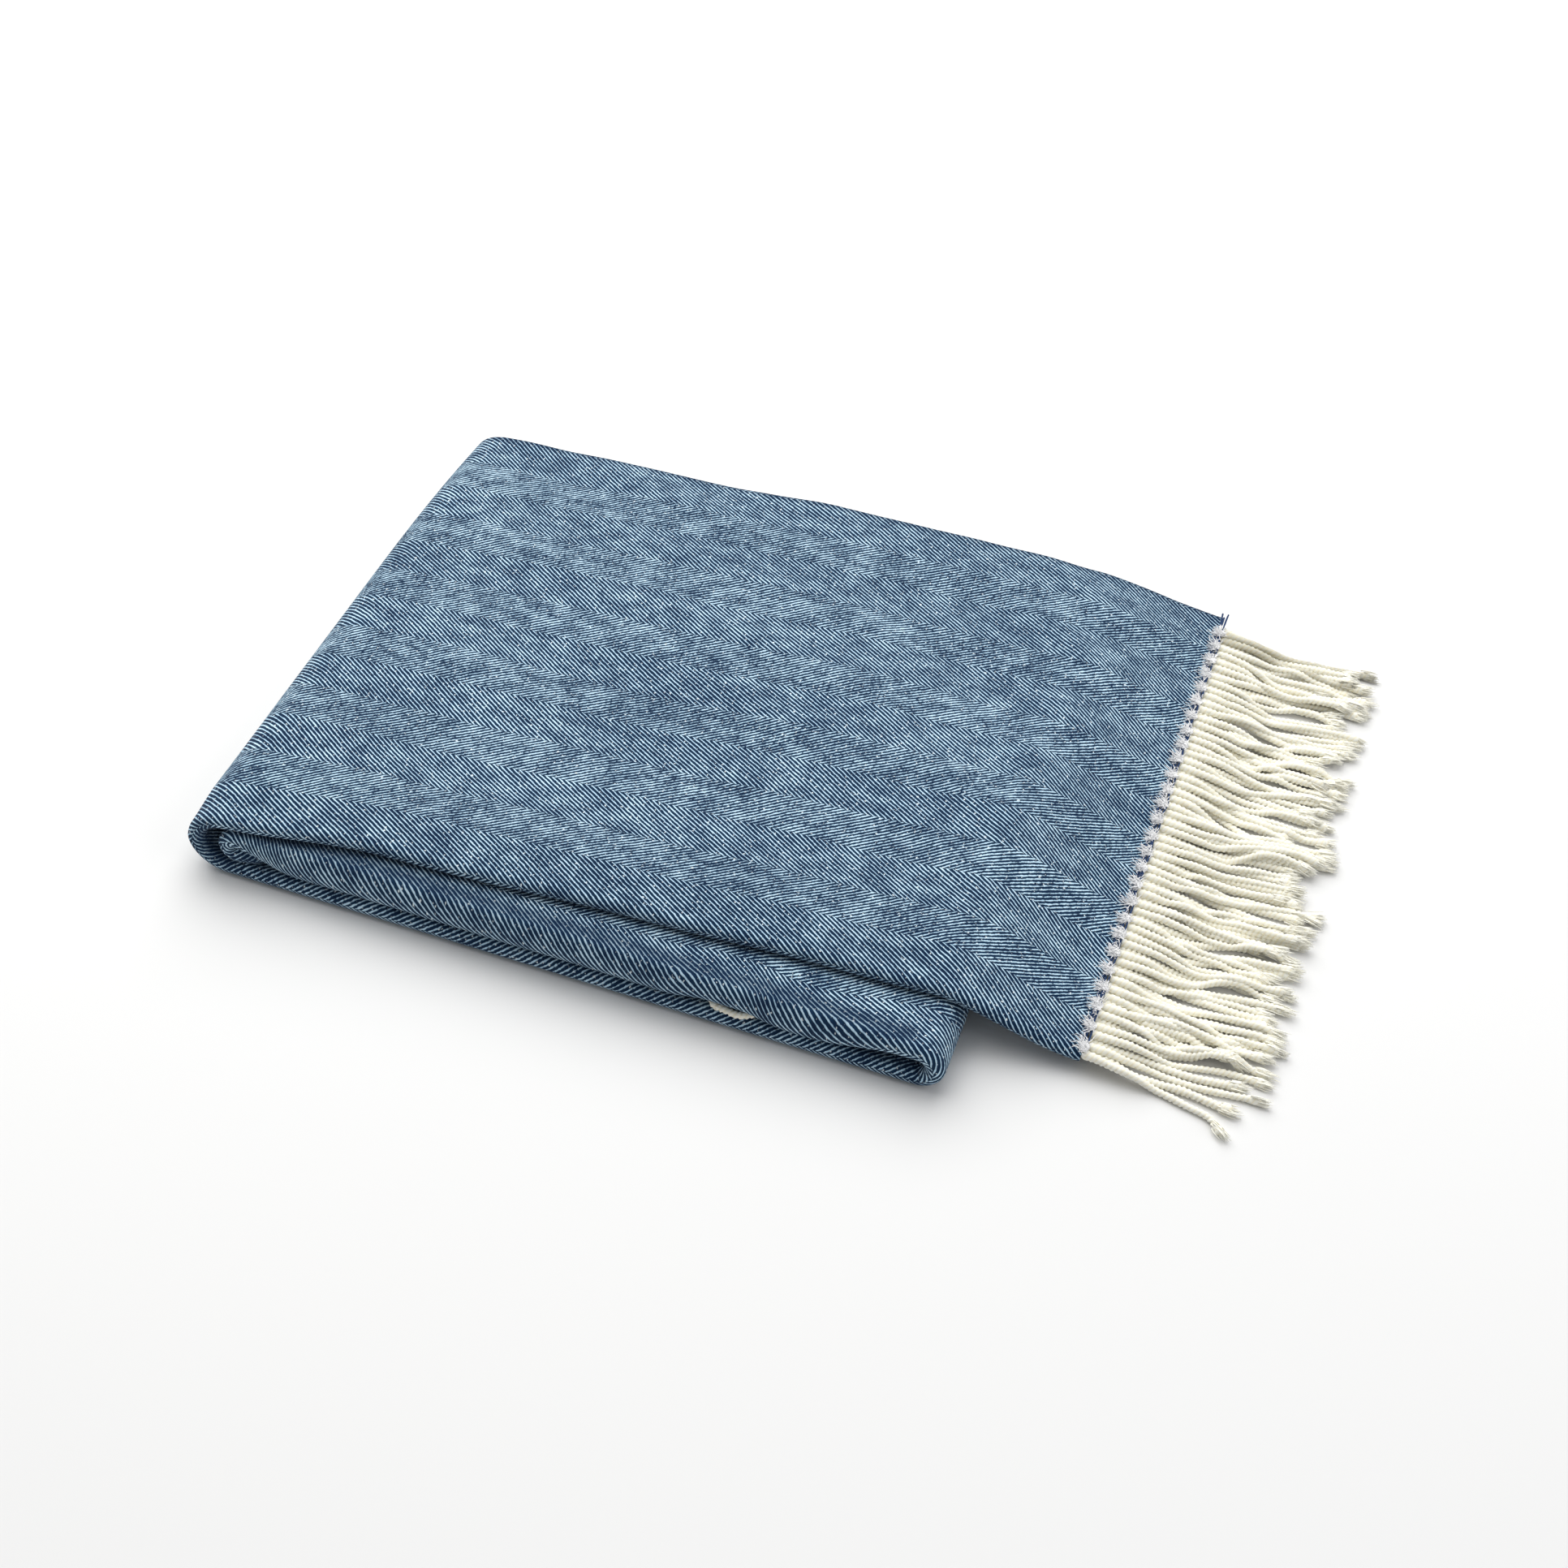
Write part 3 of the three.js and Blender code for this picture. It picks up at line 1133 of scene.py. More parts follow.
    def _place(self) -> Array:
        """Places the cloth's middle surface.

        Returns:
            Places, stations by points across.
        """
        line, sizes = self.line, self.sizes
        left, right = self.side.left_centre, self.side.right_centre
        x, y, upper = line.x, self.depth[None, :], self._upper()
        y_new, n_new = self._fronts()
        sign = np.where(upper > 0.5, 1.0, -1.0)
        front = sizes.front_at_left + sign * sizes.slope * (x - sizes.left)
        place_x = x[:, None] + line.normal_x[:, None] * n_new
        place_z = line.z[:, None] + line.normal_z[:, None] * n_new
        place_y = front[:, None] + y_new

        bend = Ripple(0.30, SEED + 1).at(place_x, place_y * 0.3) * self.front_bend
        place_y = place_y + bend * ease(0.0, 0.04, place_z)
        swell = Ripple(0.13, SEED + 2).at(place_x, place_y)
        rear = ease(-0.25 * sizes.width, 0.5 * sizes.width, place_y)
        sunk = ease(-0.06, right, place_x) * (1.0 - 0.75 * ease(right, sizes.hem, place_x)) * rear
        place_z = place_z * (1.0 + self.unevenness * swell - self.rear_sink * sunk)
        inward = self._share_of(Layer.INNER_FOLD) + self._share_of(Layer.MIDDLE)
        inward = (inward + self._share_of(Layer.INNER)) * (1.0 - ease(left, left + 0.06, x))
        place_x = place_x + self.inner_fold_in * inward[:, None] * (1.0 - ease(0.02, 0.12, y))
        end = ease(0.35 * sizes.left, sizes.left, place_x)
        along = place_y / (0.5 * sizes.width)
        first, second, third = self.left_lean
        place_x = place_x + end * (first * along + second * along**2 + third * along**3)
        outer = (self.across[None, :] < sizes.width) & (upper[:, None] > 0.5)
        rumple = Ripple(0.045, SEED + 3).at(place_x, place_y * 1.4)
        puff = np.clip(rumple + 0.3, 0.0, None) * self.puff
        inside = ease(0.0, 0.03, self.depth)[None, :]
        place_z = place_z + outer * puff * inside * (1.0 - self._share_of(Layer.LEFT_FOLD))[:, None]
        return np.stack([place_x, place_y, place_z], -1)

    def _normals(self) -> Array:
        """Works out the middle surface's normals.

        Returns:
            Unit normals, out of the side that shows on top.
        """
        along = np.gradient(self.points, axis=0)
        across = np.gradient(self.points, axis=1)
        normal = np.cross(along, across)
        return normal / np.maximum(np.linalg.norm(normal, axis=2, keepdims=True), 1e-12)

    def marks(self) -> Array:
        """Works out what the weave is drawn by.

        Returns:
            Place on the flat cloth, across and along, and how much painted shade it takes in creases and along the
            selvedge, from 0 to 1, at every grid point.
        """
        run = self.line.run[:, None]
        u = np.broadcast_to(self.across, (len(run), len(self.across)))
        bow = Ripple(0.11, SEED + 4).at(u, run) * self.bow
        sway = Ripple(0.20, SEED + 5).at(u, run) * self.sway
        along = np.broadcast_to(run, u.shape) + sway
        zone = 1.0 - ease(0.05, 0.13, self.depth)
        drawn = self.face_share * self._tall()[:, None] * zone[None, :] * (u < 1.3 * self.sizes.width)
        # painted shade along the selvedge, where the edge curves away from the light
        selvedge = self.selvedge_shade * (1.0 - ease(0.0, self.selvedge, u))
        return np.stack([u + bow - drawn, along, np.maximum(selvedge, self._crease_shade())], -1)

    def _crease_shade(self) -> Array:
        """Works out the painted shade in the creases between the layers' fronts and inside the left fold.

        Returns:
            How much painted shade every grid point takes, from 0 to 1.
        """
        big = 1.5 * self.ply_pitch
        depth = self.depth[None, :]
        height = self.line.normal_z[:, None] * self.lift[None, :] / big
        over, under = np.clip(height, 0.0, 1.0), np.clip(-height, 0.0, 1.0)
        front = 1.0 - ease(0.006, 0.016, depth)
        lip = front * ease(0.0, 0.007, depth)
        top, middle = self._share_of(Layer.TOP)[:, None], self._share_of(Layer.MIDDLE)[:, None]
        inner, bottom = self._share_of(Layer.INNER)[:, None], self._share_of(Layer.BOTTOM)[:, None]
        # painted shade where the layers' fronts meet: under the top layer's front, on the middle layer's front lip,
        # and along the inner and bottom layers' fronts
        crease_shade = top * under * front + middle * over * lip + inner * front * self.low_crease_shade
        # painted shade inside the left fold, on its lower side
        pocket = self._share_of(Layer.LEFT_FOLD)[:, None] * np.clip(-self.lift / big, 0.0, 1.0)
        return crease_shade + bottom * over * lip * self.low_crease_shade + pocket * front

    def stations_of(self, *layers: Layer) -> slice:
        """The stations of these layers, with the one before them, where they join the next piece."""
        numbers = [i for i, one in enumerate(self.line.layer) if one in layers]
        return slice(max(numbers[0] - 1, 0), numbers[-1] + 1)

    def panel(self, name: str, rows: slice, material: bpy.types.Material) -> bpy.types.Object:
        """Makes a closed piece of the cloth with both faces and its rims, with the painted shade along its selvedge.

        Args:
            name: The piece's name.
            rows: Which stations it takes.
            material: The cloth's finish.

        Returns:
            The piece.
        """
        points, normals = self.points[rows], self.normals[rows]
        marks = self.marks()[rows]
        rows_count, columns = points.shape[:2]
        half = self.thickness / 2.0
        count = rows_count * columns
        number = np.arange(count).reshape(rows_count, columns)
        a, b = number[:-1, :-1], number[1:, :-1]
        c, d = number[1:, 1:], number[:-1, 1:]
        outer = np.stack([a, b, c, d], -1).reshape(-1, 4)
        inner = outer[:, ::-1] + count
        loop = np.concatenate([number[:, 0], number[-1, 1:], number[-2::-1, -1], number[0, -2:0:-1]])
        after = np.roll(loop, -1)
        rim = np.stack([after, loop, loop + count, after + count], -1)
        parts = MeshParts()
        flat_normals = normals.reshape(-1, 3)
        flat = points.reshape(-1, 3)
        both = np.concatenate([flat + flat_normals * half, flat - flat_normals * half])
        marks = np.tile(marks.reshape(-1, 3), (2, 1))
        both_normals = np.concatenate([flat_normals, -flat_normals])
        parts.add(both, np.concatenate([outer, inner, rim]), marks, both_normals)
        return parts.build(name, "weave", material)

    def flat_size(self, rows: slice) -> tuple[float, float]:
        """Width and length of the flat cloth in these stations."""
        run = self.line.run[rows]
        return float(self.across[-1]), float(run[-1] - run[0])

    def edge_line(self, row: int, last: float) -> Array:
        """Points of one station across the outer ply, from the back to a distance across."""
        keep = self.across <= last
        return self.points[row, keep] + self.normals[row, keep] * self.thickness / 2.0


# Fringe and hem.


@dataclass
class TasselRow:
    """A row of twisted tassels along an end of the cloth."""

    roots: Array  # where each starts, one row each
    length: float
    radius: float
    seed: int
    floor: float = 0.0  # height of what they lie on
    fall: float = 0.042  # distance in which a tassel comes down
    clump: float = 0.0065  # how far the tips gather
    stray: float = 0.0028  # how far each tip strays by itself
    give: float = 0.80  # share of two radii at which tassels that cross touch
    hump: float = 3.2  # most radii by which one is lifted over others
    smooth: int = 7  # rings on each side over which its height is evened out
    ring_step: float = 0.0010  # between rings along it
    spare: float = 0.085  # share by which the lengths differ
    unevenness: float = 0.07  # share by which the radius wavers
    flare: float = 0.22  # share by which the frayed tip is thicker
    bundle: float = 0.25  # and the start
    tip_fibres: int = 60
    fibre_radius: float = 0.00034
    first_shift: float = 0.0  # how far the frontmost tassel moves sideways near its root
    first_curl: float = 0.0  # how far its tip turns to the front
    paths: list[Array] = field(default_factory=list)

    def lay(self, below: Sequence[Array] = ()) -> list[Array]:
        """Lays the tassels down one after another, each on what lies below it.

        Args:
            below: Paths that are already there.

        Returns:
            The paths, one for each tassel.
        """
        rng = np.random.default_rng(self.seed)
        count = len(self.roots)
        gather = Ripple(0.05, self.seed + 1)
        rings = int(self.length / self.ring_step)
        share = np.linspace(0.0, 1.0, rings)
        placed = [np.asarray(path) for path in below]
        order = rng.permutation(count)
        paths: dict[int, Array] = {}
        for index in order:
            root = self.roots[index]
            length = self.length * (1.0 + rng.uniform(-1.6, 1.0) * self.spare)
            tip = gather.at(root[1]) * self.clump * 1.6 + rng.normal(0.0, self.stray)
            wave = rng.uniform(0.0006, 0.0016)
            turns = rng.uniform(0.7, 1.7)
            phase = rng.uniform(0.0, 2.0 * math.pi)
            curl = -self.first_curl if index == 0 else 0.0
            shift = -self.first_shift if index == 0 else 0.0
            x = root[0] + length * share
            sway = wave * (np.sin(turns * 2 * math.pi * share + phase) - math.sin(phase))
            y = root[1] + tip * ease(0.05, 0.9, share) + sway * ease(0.0, 0.4, share)
            y = y + curl * ease(0.72, 1.05, share) * share**2
            y = y + shift * (ease(0.0, 0.12, share) - ease(0.25, 0.55, share))
            x = x - abs(curl) * 0.9 * ease(0.75, 1.05, share)
            rest = self.floor + self.radius * 0.95
            z = np.full_like(x, rest)
            for other in placed:
                gap = np.hypot(x[:, None] - other[None, ::4, 0], y[:, None] - other[None, ::4, 1])
                near = gap.argmin(1)
                closest = gap[np.arange(rings), near]
                reach = 2.0 * self.radius * self.give
                over = np.sqrt(np.clip(reach**2 - closest**2, 0.0, None))
                z = np.maximum(z, np.where(closest < reach, other[::4][near, 2] + over * 0.8, 0.0))
            z = np.minimum(z, rest + self.hump * self.radius)
            kernel = np.hanning(2 * self.smooth + 1)
            padded = np.pad(z, self.smooth, mode="edge")
            z = np.convolve(padded, kernel / kernel.sum(), mode="valid")
            start = 1.0 - ease(0.0, self.fall, x - root[0])
            z = np.maximum(z, rest) + np.maximum(root[2] - z, 0.0) * start
            z = np.maximum(z, self.floor + self.radius * (1.02 + 0.24 * ease(0.86, 0.97, share)))
            path = np.stack([x, y, z], -1)
            paths[index] = path
            placed.append(path)
        self.paths = [paths[i] for i in range(count)]
        return self.paths

    def add(self, parts: MeshParts, index: int, strand: Strand) -> None:
        """Adds one tassel to a mesh, with its loose start and frayed tip.

        Args:
            parts: Where it is added.
            index: Number of the tassel.
            strand: How its cord is twisted.
        """
        rng = np.random.default_rng(self.seed * 100 + index)
        path = self.paths[index]
        share = np.linspace(0.0, 1.0, len(path))
        fray = ease(0.88, 0.97, share)
        start_share = 1.0 - ease(0.0, 0.42, share)
        uneven = 1.0 + self.unevenness * Ripple(0.012, self.seed + index, 5).at(path[:, 0])
        radius = self.radius * uneven * (1.0 + self.flare * fray + self.bundle * start_share)
        radius = radius * np.sqrt(np.clip((1.0 - share) / 0.03, 0.02, 1.0))
        radius[0] *= 0.6
        loose = np.clip(fray * 1.3 + 0.8 * (1.0 - ease(0.0, 0.15, share)), 0.0, 1.0)
        strand.mesh(parts, path, radius, rng.uniform(0.0, 6.0), loose)
        tip, ahead = path[-1], path[-1] - path[-5]
        ahead = ahead / np.linalg.norm(ahead)
        count = self.tip_fibres
        spread = rng.normal(0.0, 1.0, (count, 3)) * self.radius * 0.42
        start = tip - ahead * 0.006 + spread * 1.1
        reach = rng.uniform(0.0028, 0.0058, (count, 1))
        end = tip + ahead * (reach - 0.003) + spread * 1.35
        middle = (start + end) / 2.0 + rng.normal(0.0, 0.0004, (count, 3))
        lowest = self.floor + 0.0005
        for group in (start, middle, end):
            group[:, 2] = np.maximum(group[:, 2], lowest)
        add_fibres(parts, start, middle, end, self.fibre_radius)

    def add_all(self, parts: MeshParts, strand: Strand) -> None:
        """Adds every tassel to a mesh."""
        for index in range(len(self.paths)):
            self.add(parts, index, strand)


@dataclass
class Tufts:
    """A row of fuzzy tufts where the tassels leave the cloth."""

    centres: Array  # one row each
    pitch: float  # distance between them
    seed: int
    fibres: int = 90  # in each tuft
    radius: float = 0.00024
    arch: float = 0.0008  # how far a fibre bends up
    pad_reach: float = 0.0022  # half of a tuft's pad along the tassel
    pad_share: float = 0.22  # its half width, as a share of the pitch
    pad_height: float = 0.0010  # its half height
    pad_lift: float = 0.0004
    lumps: float = 0.16  # share by which it is lumpy

    def add(self, parts: MeshParts) -> None:
        """Adds the tufts to a mesh.

        Args:
            parts: Where they are added.
        """
        rng = np.random.default_rng(self.seed)
        for centre in self.centres:
            self._pad(parts, centre, rng)
            count = self.fibres
            side = rng.normal(0.0, 0.20, count) * self.pitch
            start = np.stack(
                [
                    centre[0] + rng.normal(-0.0004, 0.0012, count),
                    centre[1] + side * 0.75,
                    centre[2] + rng.uniform(0.0000, 0.0014, count),
                ],
                -1,
            )
            ahead = rng.uniform(-0.0046, 0.0020, count)
            lift = rng.uniform(0.0002, 0.0022, count)
            end = start + np.stack([ahead, side * 0.35 + rng.normal(0, 0.0011, count), lift], -1)
            middle = (start + end) / 2.0 + rng.normal(0.0, 0.0006, (count, 3))
            middle[:, 2] = middle[:, 2] + self.arch
            add_fibres(parts, start, middle, end, self.radius)

    def _pad(self, parts: MeshParts, centre: Array, rng: np.random.Generator) -> None:
        """Adds a small lumpy pad that fills a tuft's middle.

        Args:
            parts: Where it is added.
            centre: The tuft's place.
            rng: Source of the random draws.
        """
        rings, sides = 7, 12
        polar = np.linspace(0.06, math.pi - 0.06, rings)[:, None]
        angle = np.linspace(0.0, 2.0 * math.pi, sides, endpoint=False)[None, :]
        lump = 1.0 + self.lumps * rng.normal(0.0, 1.0, (rings, sides))
        x = self.pad_reach * np.cos(polar) * lump
        y = self.pitch * self.pad_share * np.sin(polar) * np.cos(angle) * lump
        z = self.pad_height * np.sin(polar) * np.sin(angle) * lump
        points = np.stack([x + centre[0], y + centre[1], z + centre[2] + self.pad_lift], -1)
        number = np.arange(rings * sides).reshape(rings, sides)
        after = np.roll(number, -1, axis=1)
        faces = np.stack([number[:-1], number[1:], after[1:], after[:-1]], -1).reshape(-1, 4).tolist()
        faces.append(number[0].tolist())
        faces.append(number[-1, ::-1].tolist())
        flat = points.reshape(-1, 3)
        parts.add(flat, faces, flat)


# The throw.


@dataclass
class FoldedThrow:
    """The whole folded throw: cloth, hem, tassels, and the hidden inner end."""

    sizes: FoldSizes = field(default_factory=FoldSizes.from_frame)
    fold_lean: float = 0.35  # lean of the line along which the left fold opens
    fold_half: float = 0.0088  # half of that line's length, in metres
    cord_radius: float = 0.0019  # of the tassels that show
    under_radius: float = 0.0022  # of the tassels below them
    cord_gap: float = 0.22  # share of the pitch by which a tassel's two cords lie off its middle
    upper_drop: float = 0.0022  # how far below the cloth's face the tassels start
    lower_drop: float = 0.0046  # and those below them
    tuft_lift: float = 0.0024  # how far above their start the tufts sit
    thread_rows: tuple[float, ...] = (-0.0014, -0.0001, 0.0012)  # places of the navy threads
    thread_radius: float = 0.00052
    thread_points: int = 420

    def __post_init__(self) -> None:
        """Lays out the cloth and makes the finishes."""
        self.cloth = ThrowCloth(self.sizes)
        self.weave = HerringboneFinish(self.cloth.band).build()
        self.yarn = FringeFinish().build()
        self.fluff = ThreadFinish("white_fluff", rgba(1.0, 1.0, 1.0), rgba(0.96, 0.96, 0.98)).build()
        self.navy = ThreadFinish("navy_thread", rgba(0.05, 0.09, 0.20), rgba(0.015, 0.03, 0.08)).build()
        self.made: dict[str, bpy.types.Object] = {}

    def _nodes(self, start: str) -> list[str]:
        """Names of the nodes that start like this, in order."""
        return sorted(name for name in frame["nodes"] if name.startswith(start))

    def _keep(self, piece: bpy.types.Object, slot: str) -> None:
        """Notes and reports a finished piece.

        Args:
            piece: The piece.
            slot: The record's material slot that it takes its finish from.
        """
        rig.slot(piece, slot)
        self.made[piece.name] = piece
        mesh = piece.data
        LOG.info("%s: %d points, %d faces", piece.name, len(mesh.vertices), len(mesh.polygons))

    def build_stack(self) -> None:
        """Makes the layers that stay still: lower, middle and inner, with their folds."""
        rows = self.cloth.stations_of(
            Layer.BOTTOM, Layer.RIGHT_FOLD, Layer.MIDDLE, Layer.INNER_FOLD, Layer.INNER
        )
        piece = self.cloth.panel("folded_stack_cloth", rows, self.weave)
        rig.ride(piece, "folded_stack")
        nodes = ["bottom_layer", "right_fold", "middle_layer", "inner_fold", "inner_layer"]
        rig.replaces(piece, *nodes)
        self._keep(piece, "woven_cloth")
        self.stack_rows = rows

    def build_top(self) -> None:
        """Makes the left fold and the top layer, which lifts open."""
        rows = self.cloth.stations_of(Layer.TOP, Layer.LEFT_FOLD)
        piece = self.cloth.panel("top_panel_cloth", rows, self.weave)
        centre = Vector((self.cloth.side.left_centre, 0.0, self.sizes.height / 2.0))
        reach = Vector((self.fold_lean, 0.0, 1.0)) * self.fold_half
        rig.replaces(piece, "left_fold_lower", "left_fold_upper", "top_layer")
        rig.blend(piece, "folded_stack", "top_layer", start=centre - reach, end=centre + reach)
        self._keep(piece, "woven_cloth")
        self.top_rows = rows

    def build_overhang(self) -> None:
        """Makes the end of the top layer that droops past the stack."""
        rows = self.cloth.stations_of(Layer.OVERHANG)
        piece = self.cloth.panel("overhang_cloth", rows, self.weave)
        low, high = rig.box("overhang")
        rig.replaces(piece, "overhang")
        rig.blend(piece, "top_layer", "fringed_end", start=(low[0], 0, 0), end=(high[0], 0, 0))
        self._keep(piece, "woven_cloth")
        self.overhang_rows = rows

    def _roots(self, row: int, pitch: float, drop: float, shift: float) -> Array:
        """Where tassels start along a station's outer ply.

        Args:
            row: The station.
            pitch: Distance between them.
            drop: How far below the ply's upper face they start.
            shift: Share of the pitch by which the first one is moved in.

        Returns:
            One row for each, from the front to the back.
        """
        line = self.cloth.edge_line(row, self.sizes.width)[::-1]
        count = int((line[-1, 1] - line[0, 1]) / pitch)
        y = line[0, 1] + pitch * (0.30 + shift + np.arange(count))
        y = y[y < line[-1, 1] - 0.002]
        x = np.interp(y, line[:, 1], line[:, 0])
        z = np.interp(y, line[:, 1], line[:, 2])
        return np.stack([x, y, z - drop], -1)

    def build_fringe(self) -> None:
        """Makes the tassels of the end that shows."""
        names = self._nodes("tassel_")
        pitch = self.sizes.width / len(names)
        upper = self._roots(0, pitch, self.upper_drop, 0.0)[: len(names)]
        pairs = np.repeat(upper, 2, axis=0)
        pairs[::2, 1] = pairs[::2, 1] - pitch * self.cord_gap
        pairs[1::2, 1] = pairs[1::2, 1] + pitch * self.cord_gap
        lower = self._roots(0, pitch / 2.0, self.lower_drop, 0.5)
        lower[:, 0] = lower[:, 0] - 0.001
        fringe = self.sizes.fringe
        under = TasselRow(lower, fringe * 0.99, self.under_radius, SEED + 30, spare=0.12)
        under.lay()
        over = TasselRow(pairs, fringe * 1.03, self.cord_radius, SEED + 40, first_curl=0.010)
        over.lay(under.paths)
        strand = Strand()
        below = MeshParts()
        under.add_all(below, strand)
        piece = below.build("lower_fringe_tassels", "strand", self.yarn)
        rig.ride(piece, "fringed_end")
        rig.replaces(piece, "lower_fringe")
        self._keep(piece, "fringe_yarn")
        self.fringe = [piece]
        for index, name in enumerate(names):
            parts = MeshParts()
            first = 2 * min(index, len(upper) - 1)
            over.add(parts, first, strand)
            over.add(parts, first + 1, strand)
            piece = parts.build(f"{name}_cord", "strand", self.yarn)
            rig.ride(piece, "fringed_end")
            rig.replaces(piece, name)
            self._keep(piece, "fringe_yarn")
            self.fringe.append(piece)
        self.tassel_roots = upper

    def build_hem(self) -> None:
        """Makes the tufts and the navy threads that show between them."""
        roots = self.tassel_roots.copy()
        pitch = self.sizes.width / len(self._nodes("tassel_"))
        roots[:, 2] = roots[:, 2] + self.tuft_lift
        roots[:, 0] = roots[:, 0] + 0.0004
        parts = MeshParts()
        Tufts(roots, pitch, SEED + 50).add(parts)
        tufts = parts.build("hem_tufts", "strand", self.fluff)
        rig.ride(tufts, "fringed_end")
        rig.replaces(tufts, "hem_stitching")
        self._keep(tufts, "fringe_yarn")
        line = self.cloth.edge_line(0, self.sizes.width)[::-1]
        y = np.linspace(line[0, 1] + 0.001, line[-1, 1] + 0.0028, self.thread_points)
        threads = MeshParts()
        rng = np.random.default_rng(SEED + 51)
        thread = Strand(groove=0.2, lay=0.0016, sides=6)
        for number, offset in enumerate(self.thread_rows):
            x = np.interp(y, line[:, 1], line[:, 0]) + offset
            wander = Ripple(0.02, SEED + 60 + number).at(y) * 0.00035
            z = np.interp(y, line[:, 1], line[:, 2]) + 0.0006
            path = np.stack([x + wander, y, z], -1)
            if number == 1:  # the middle thread stops a little short
                path = path[:-4]
            radius = np.full(len(path), self.thread_radius)
            thread.mesh(threads, path, radius, rng.uniform(0, 6))
        navy = threads.build("hem_threads", "strand", self.navy)
        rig.ride(navy, "fringed_end")
        self._keep(navy, "hem_thread")
        self.hem = [tufts, navy]

    def build_inner_end(self) -> None:
        """Makes the hidden end: its tufts and tassels between the layers."""
        pitch = self.sizes.width / len(self._nodes("tassel_"))
        last = len(self.cloth.line.x) - 1
        line = self.cloth.points[last, self.cloth.across <= self.sizes.width][::-1]
        y = np.arange(line[0, 1] + 0.0008, line[-1, 1] - 0.002, pitch)
        x = np.interp(y, line[:, 1], line[:, 0])
        z = np.interp(y, line[:, 1], line[:, 2])
        roots = np.stack([x, y, z], -1)
        low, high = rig.box("inner_fringe")
        length = (high[0] - low[0]) * 0.95
        row = TasselRow(roots, length, self.cord_radius, SEED + 70, floor=low[2] - 0.0008)
        row.first_shift = 0.55 * self.cloth.inner_back
        row.lay()
        parts = MeshParts()
        row.add_all(parts, Strand(sides=8))
        tassels = parts.build("inner_fringe_tassels", "strand", self.yarn)
        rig.ride(tassels, "folded_stack")
        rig.replaces(tassels, "inner_fringe")
        self._keep(tassels, "fringe_yarn")
        fluff = MeshParts()
        Tufts(roots, pitch, SEED + 80, fibres=40).add(fluff)
        tufts = fluff.build("inner_hem_tufts", "strand", self.fluff)
        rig.ride(tufts, "folded_stack")
        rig.replaces(tufts, "inner_hem_stitching")
        self._keep(tufts, "fringe_yarn")
        self.inner = [tassels, tufts]

    def declare(self) -> None:
        stack, top = self.made["folded_stack_cloth"], self.made["top_panel_cloth"]
        overhang = self.made["overhang_cloth"]
        flat = self.cloth.flat_size
        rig.sheet(stack, flat=flat(self.stack_rows), held="folded", with_pieces=self.inner)
        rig.sheet(top, flat=flat(self.top_rows), held="folded", rests_on=[stack])
        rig.sheet(
            overhang,
            flat=flat(self.overhang_rows),
            held="draped",
            rests_on=[top],
            with_pieces=self.fringe + self.hem,
        )


# The studio.


@dataclass(frozen=True)
class SoftLight:
    """A square soft light that faces the object."""

    name: str
    place: tuple[float, float, float]
    size: float
    power: float
    colour: tuple[float, float, float]

    def build(self) -> None:
        """Makes the light."""
        data = bpy.data.lights.new(self.name, "AREA")
        data.shape = "SQUARE"
        data.size = self.size
        data.energy = self.power
        data.color = self.colour
        light = bpy.data.objects.new(self.name, data)
        light.location = self.place
        light.rotation_euler = Vector(self.place).to_track_quat("Z", "Y").to_euler()
        bpy.context.scene.collection.objects.link(light)


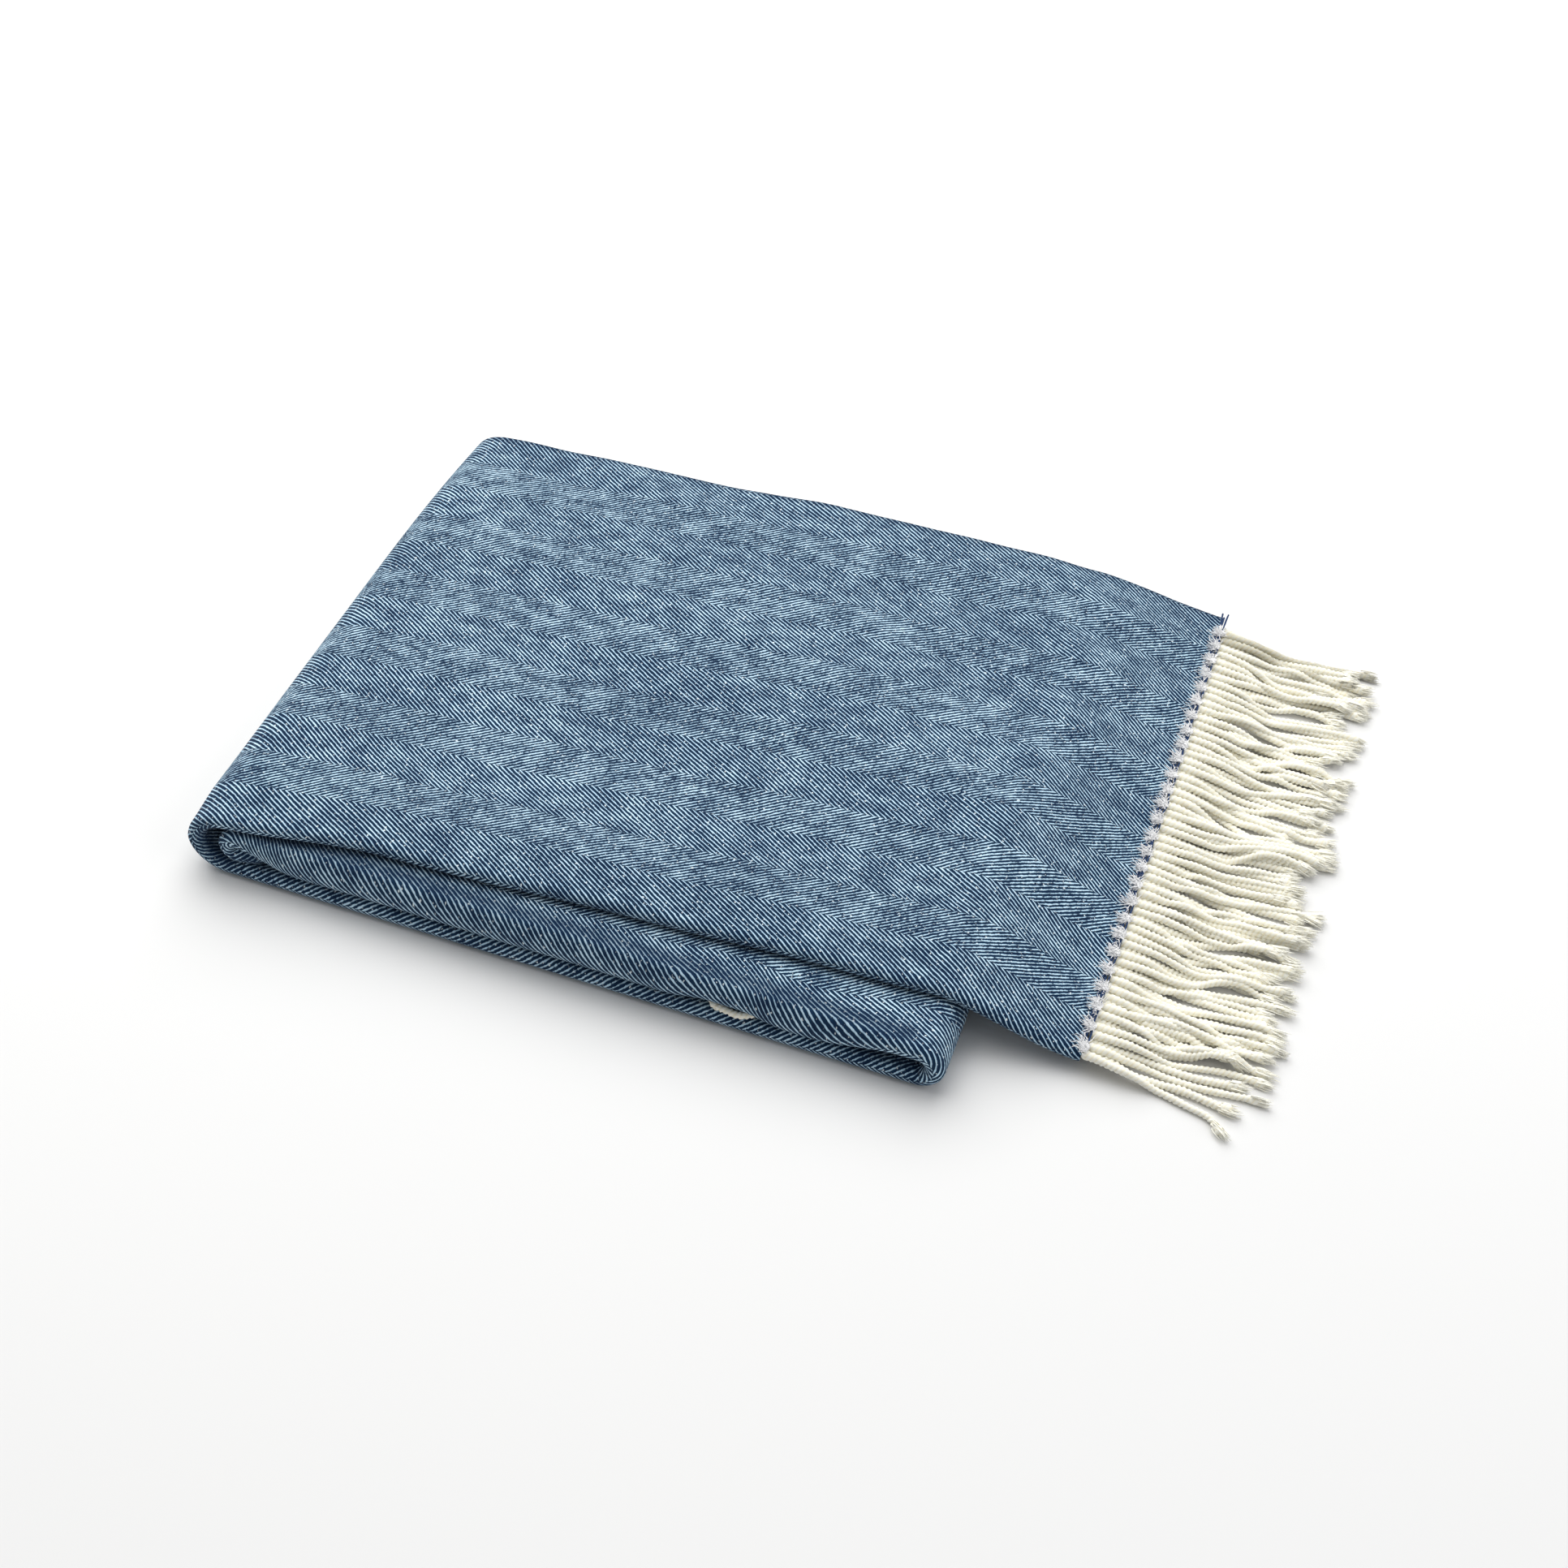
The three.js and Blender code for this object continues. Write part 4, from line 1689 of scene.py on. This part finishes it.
@dataclass
class Studio:
    """Pale floor, soft lights and the camera."""

    target: tuple[float, float, float] = (-0.0082, -0.0116, 0.0)
    azimuth: float = 19.3  # degrees from the front towards the right
    elevation: float = 45.8
    distance: float = 1.21
    lens: float = 54.0
    sensor: float = 36.0
    floor_reach: float = 6.0
    key: SoftLight = SoftLight("key", (-0.60, 0.85, 1.65), 2.6, 66.0, (1.0, 0.995, 0.98))
    fill: SoftLight = SoftLight("fill", (1.9, 0.10, 1.10), 2.0, 14.0, (0.97, 0.98, 1.0))
    sky_colour: tuple = rgba(0.98, 0.99, 1.0)
    sky_strength: float = 0.31

    def place_camera(self) -> None:
        """Makes the camera and makes it the scene's."""
        data = bpy.data.cameras.new("camera")
        data.lens = self.lens
        data.sensor_width = self.sensor
        camera = bpy.data.objects.new("camera", data)
        bpy.context.scene.collection.objects.link(camera)
        turn, rise = math.radians(self.azimuth), math.radians(self.elevation)
        away = Vector((math.cos(rise) * math.sin(turn), -math.cos(rise) * math.cos(turn), math.sin(rise)))
        camera.location = Vector(self.target) + away * self.distance
        camera.rotation_euler = away.to_track_quat("Z", "Y").to_euler()
        bpy.context.scene.camera = camera

    def place_floor(self) -> None:
        """Makes the floor."""
        mesh = bpy.data.meshes.new("floor")
        reach = self.floor_reach
        corners = [(-reach, -reach, 0.0), (reach, -reach, 0.0), (reach, reach, 0.0), (-reach, reach, 0.0)]
        mesh.from_pydata(corners, [], [(0, 1, 2, 3)])
        mesh.materials.append(FloorFinish().build())
        floor = bpy.data.objects.new("floor", mesh)
        bpy.context.scene.collection.objects.link(floor)
        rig.stage(floor)

    def place_lights(self) -> None:
        """Makes the two soft lights and the even surrounding light."""
        self.key.build()
        self.fill.build()
        world = bpy.data.worlds.new("studio")
        world.use_nodes = True
        sky = world.node_tree.nodes["Background"]
        sky.inputs["Color"].default_value = self.sky_colour
        sky.inputs["Strength"].default_value = self.sky_strength
        bpy.context.scene.world = world
        bpy.context.scene.view_settings.view_transform = "Standard"


def write_sizes() -> None:
    """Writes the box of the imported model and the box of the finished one."""
    boxes = {"cad": CAD_BOX, "visual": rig.bounds()}
    plain = {name: [[float(v) for v in corner] for corner in box] for name, box in boxes.items()}
    with open("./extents.json", "w", encoding="utf-8") as out:
        json.dump(plain, out)


def main() -> None:
    """Builds the studio and the throw."""
    logging.basicConfig(level=logging.INFO, format="%(name)s: %(message)s")
    studio = Studio()
    studio.place_camera()
    studio.place_floor()
    studio.place_lights()
    throw = FoldedThrow()
    throw.build_stack()
    throw.build_top()
    throw.build_overhang()
    throw.build_fringe()
    throw.build_hem()
    throw.build_inner_end()
    throw.declare()
    write_sizes()


if __name__ == "__main__":
    main()
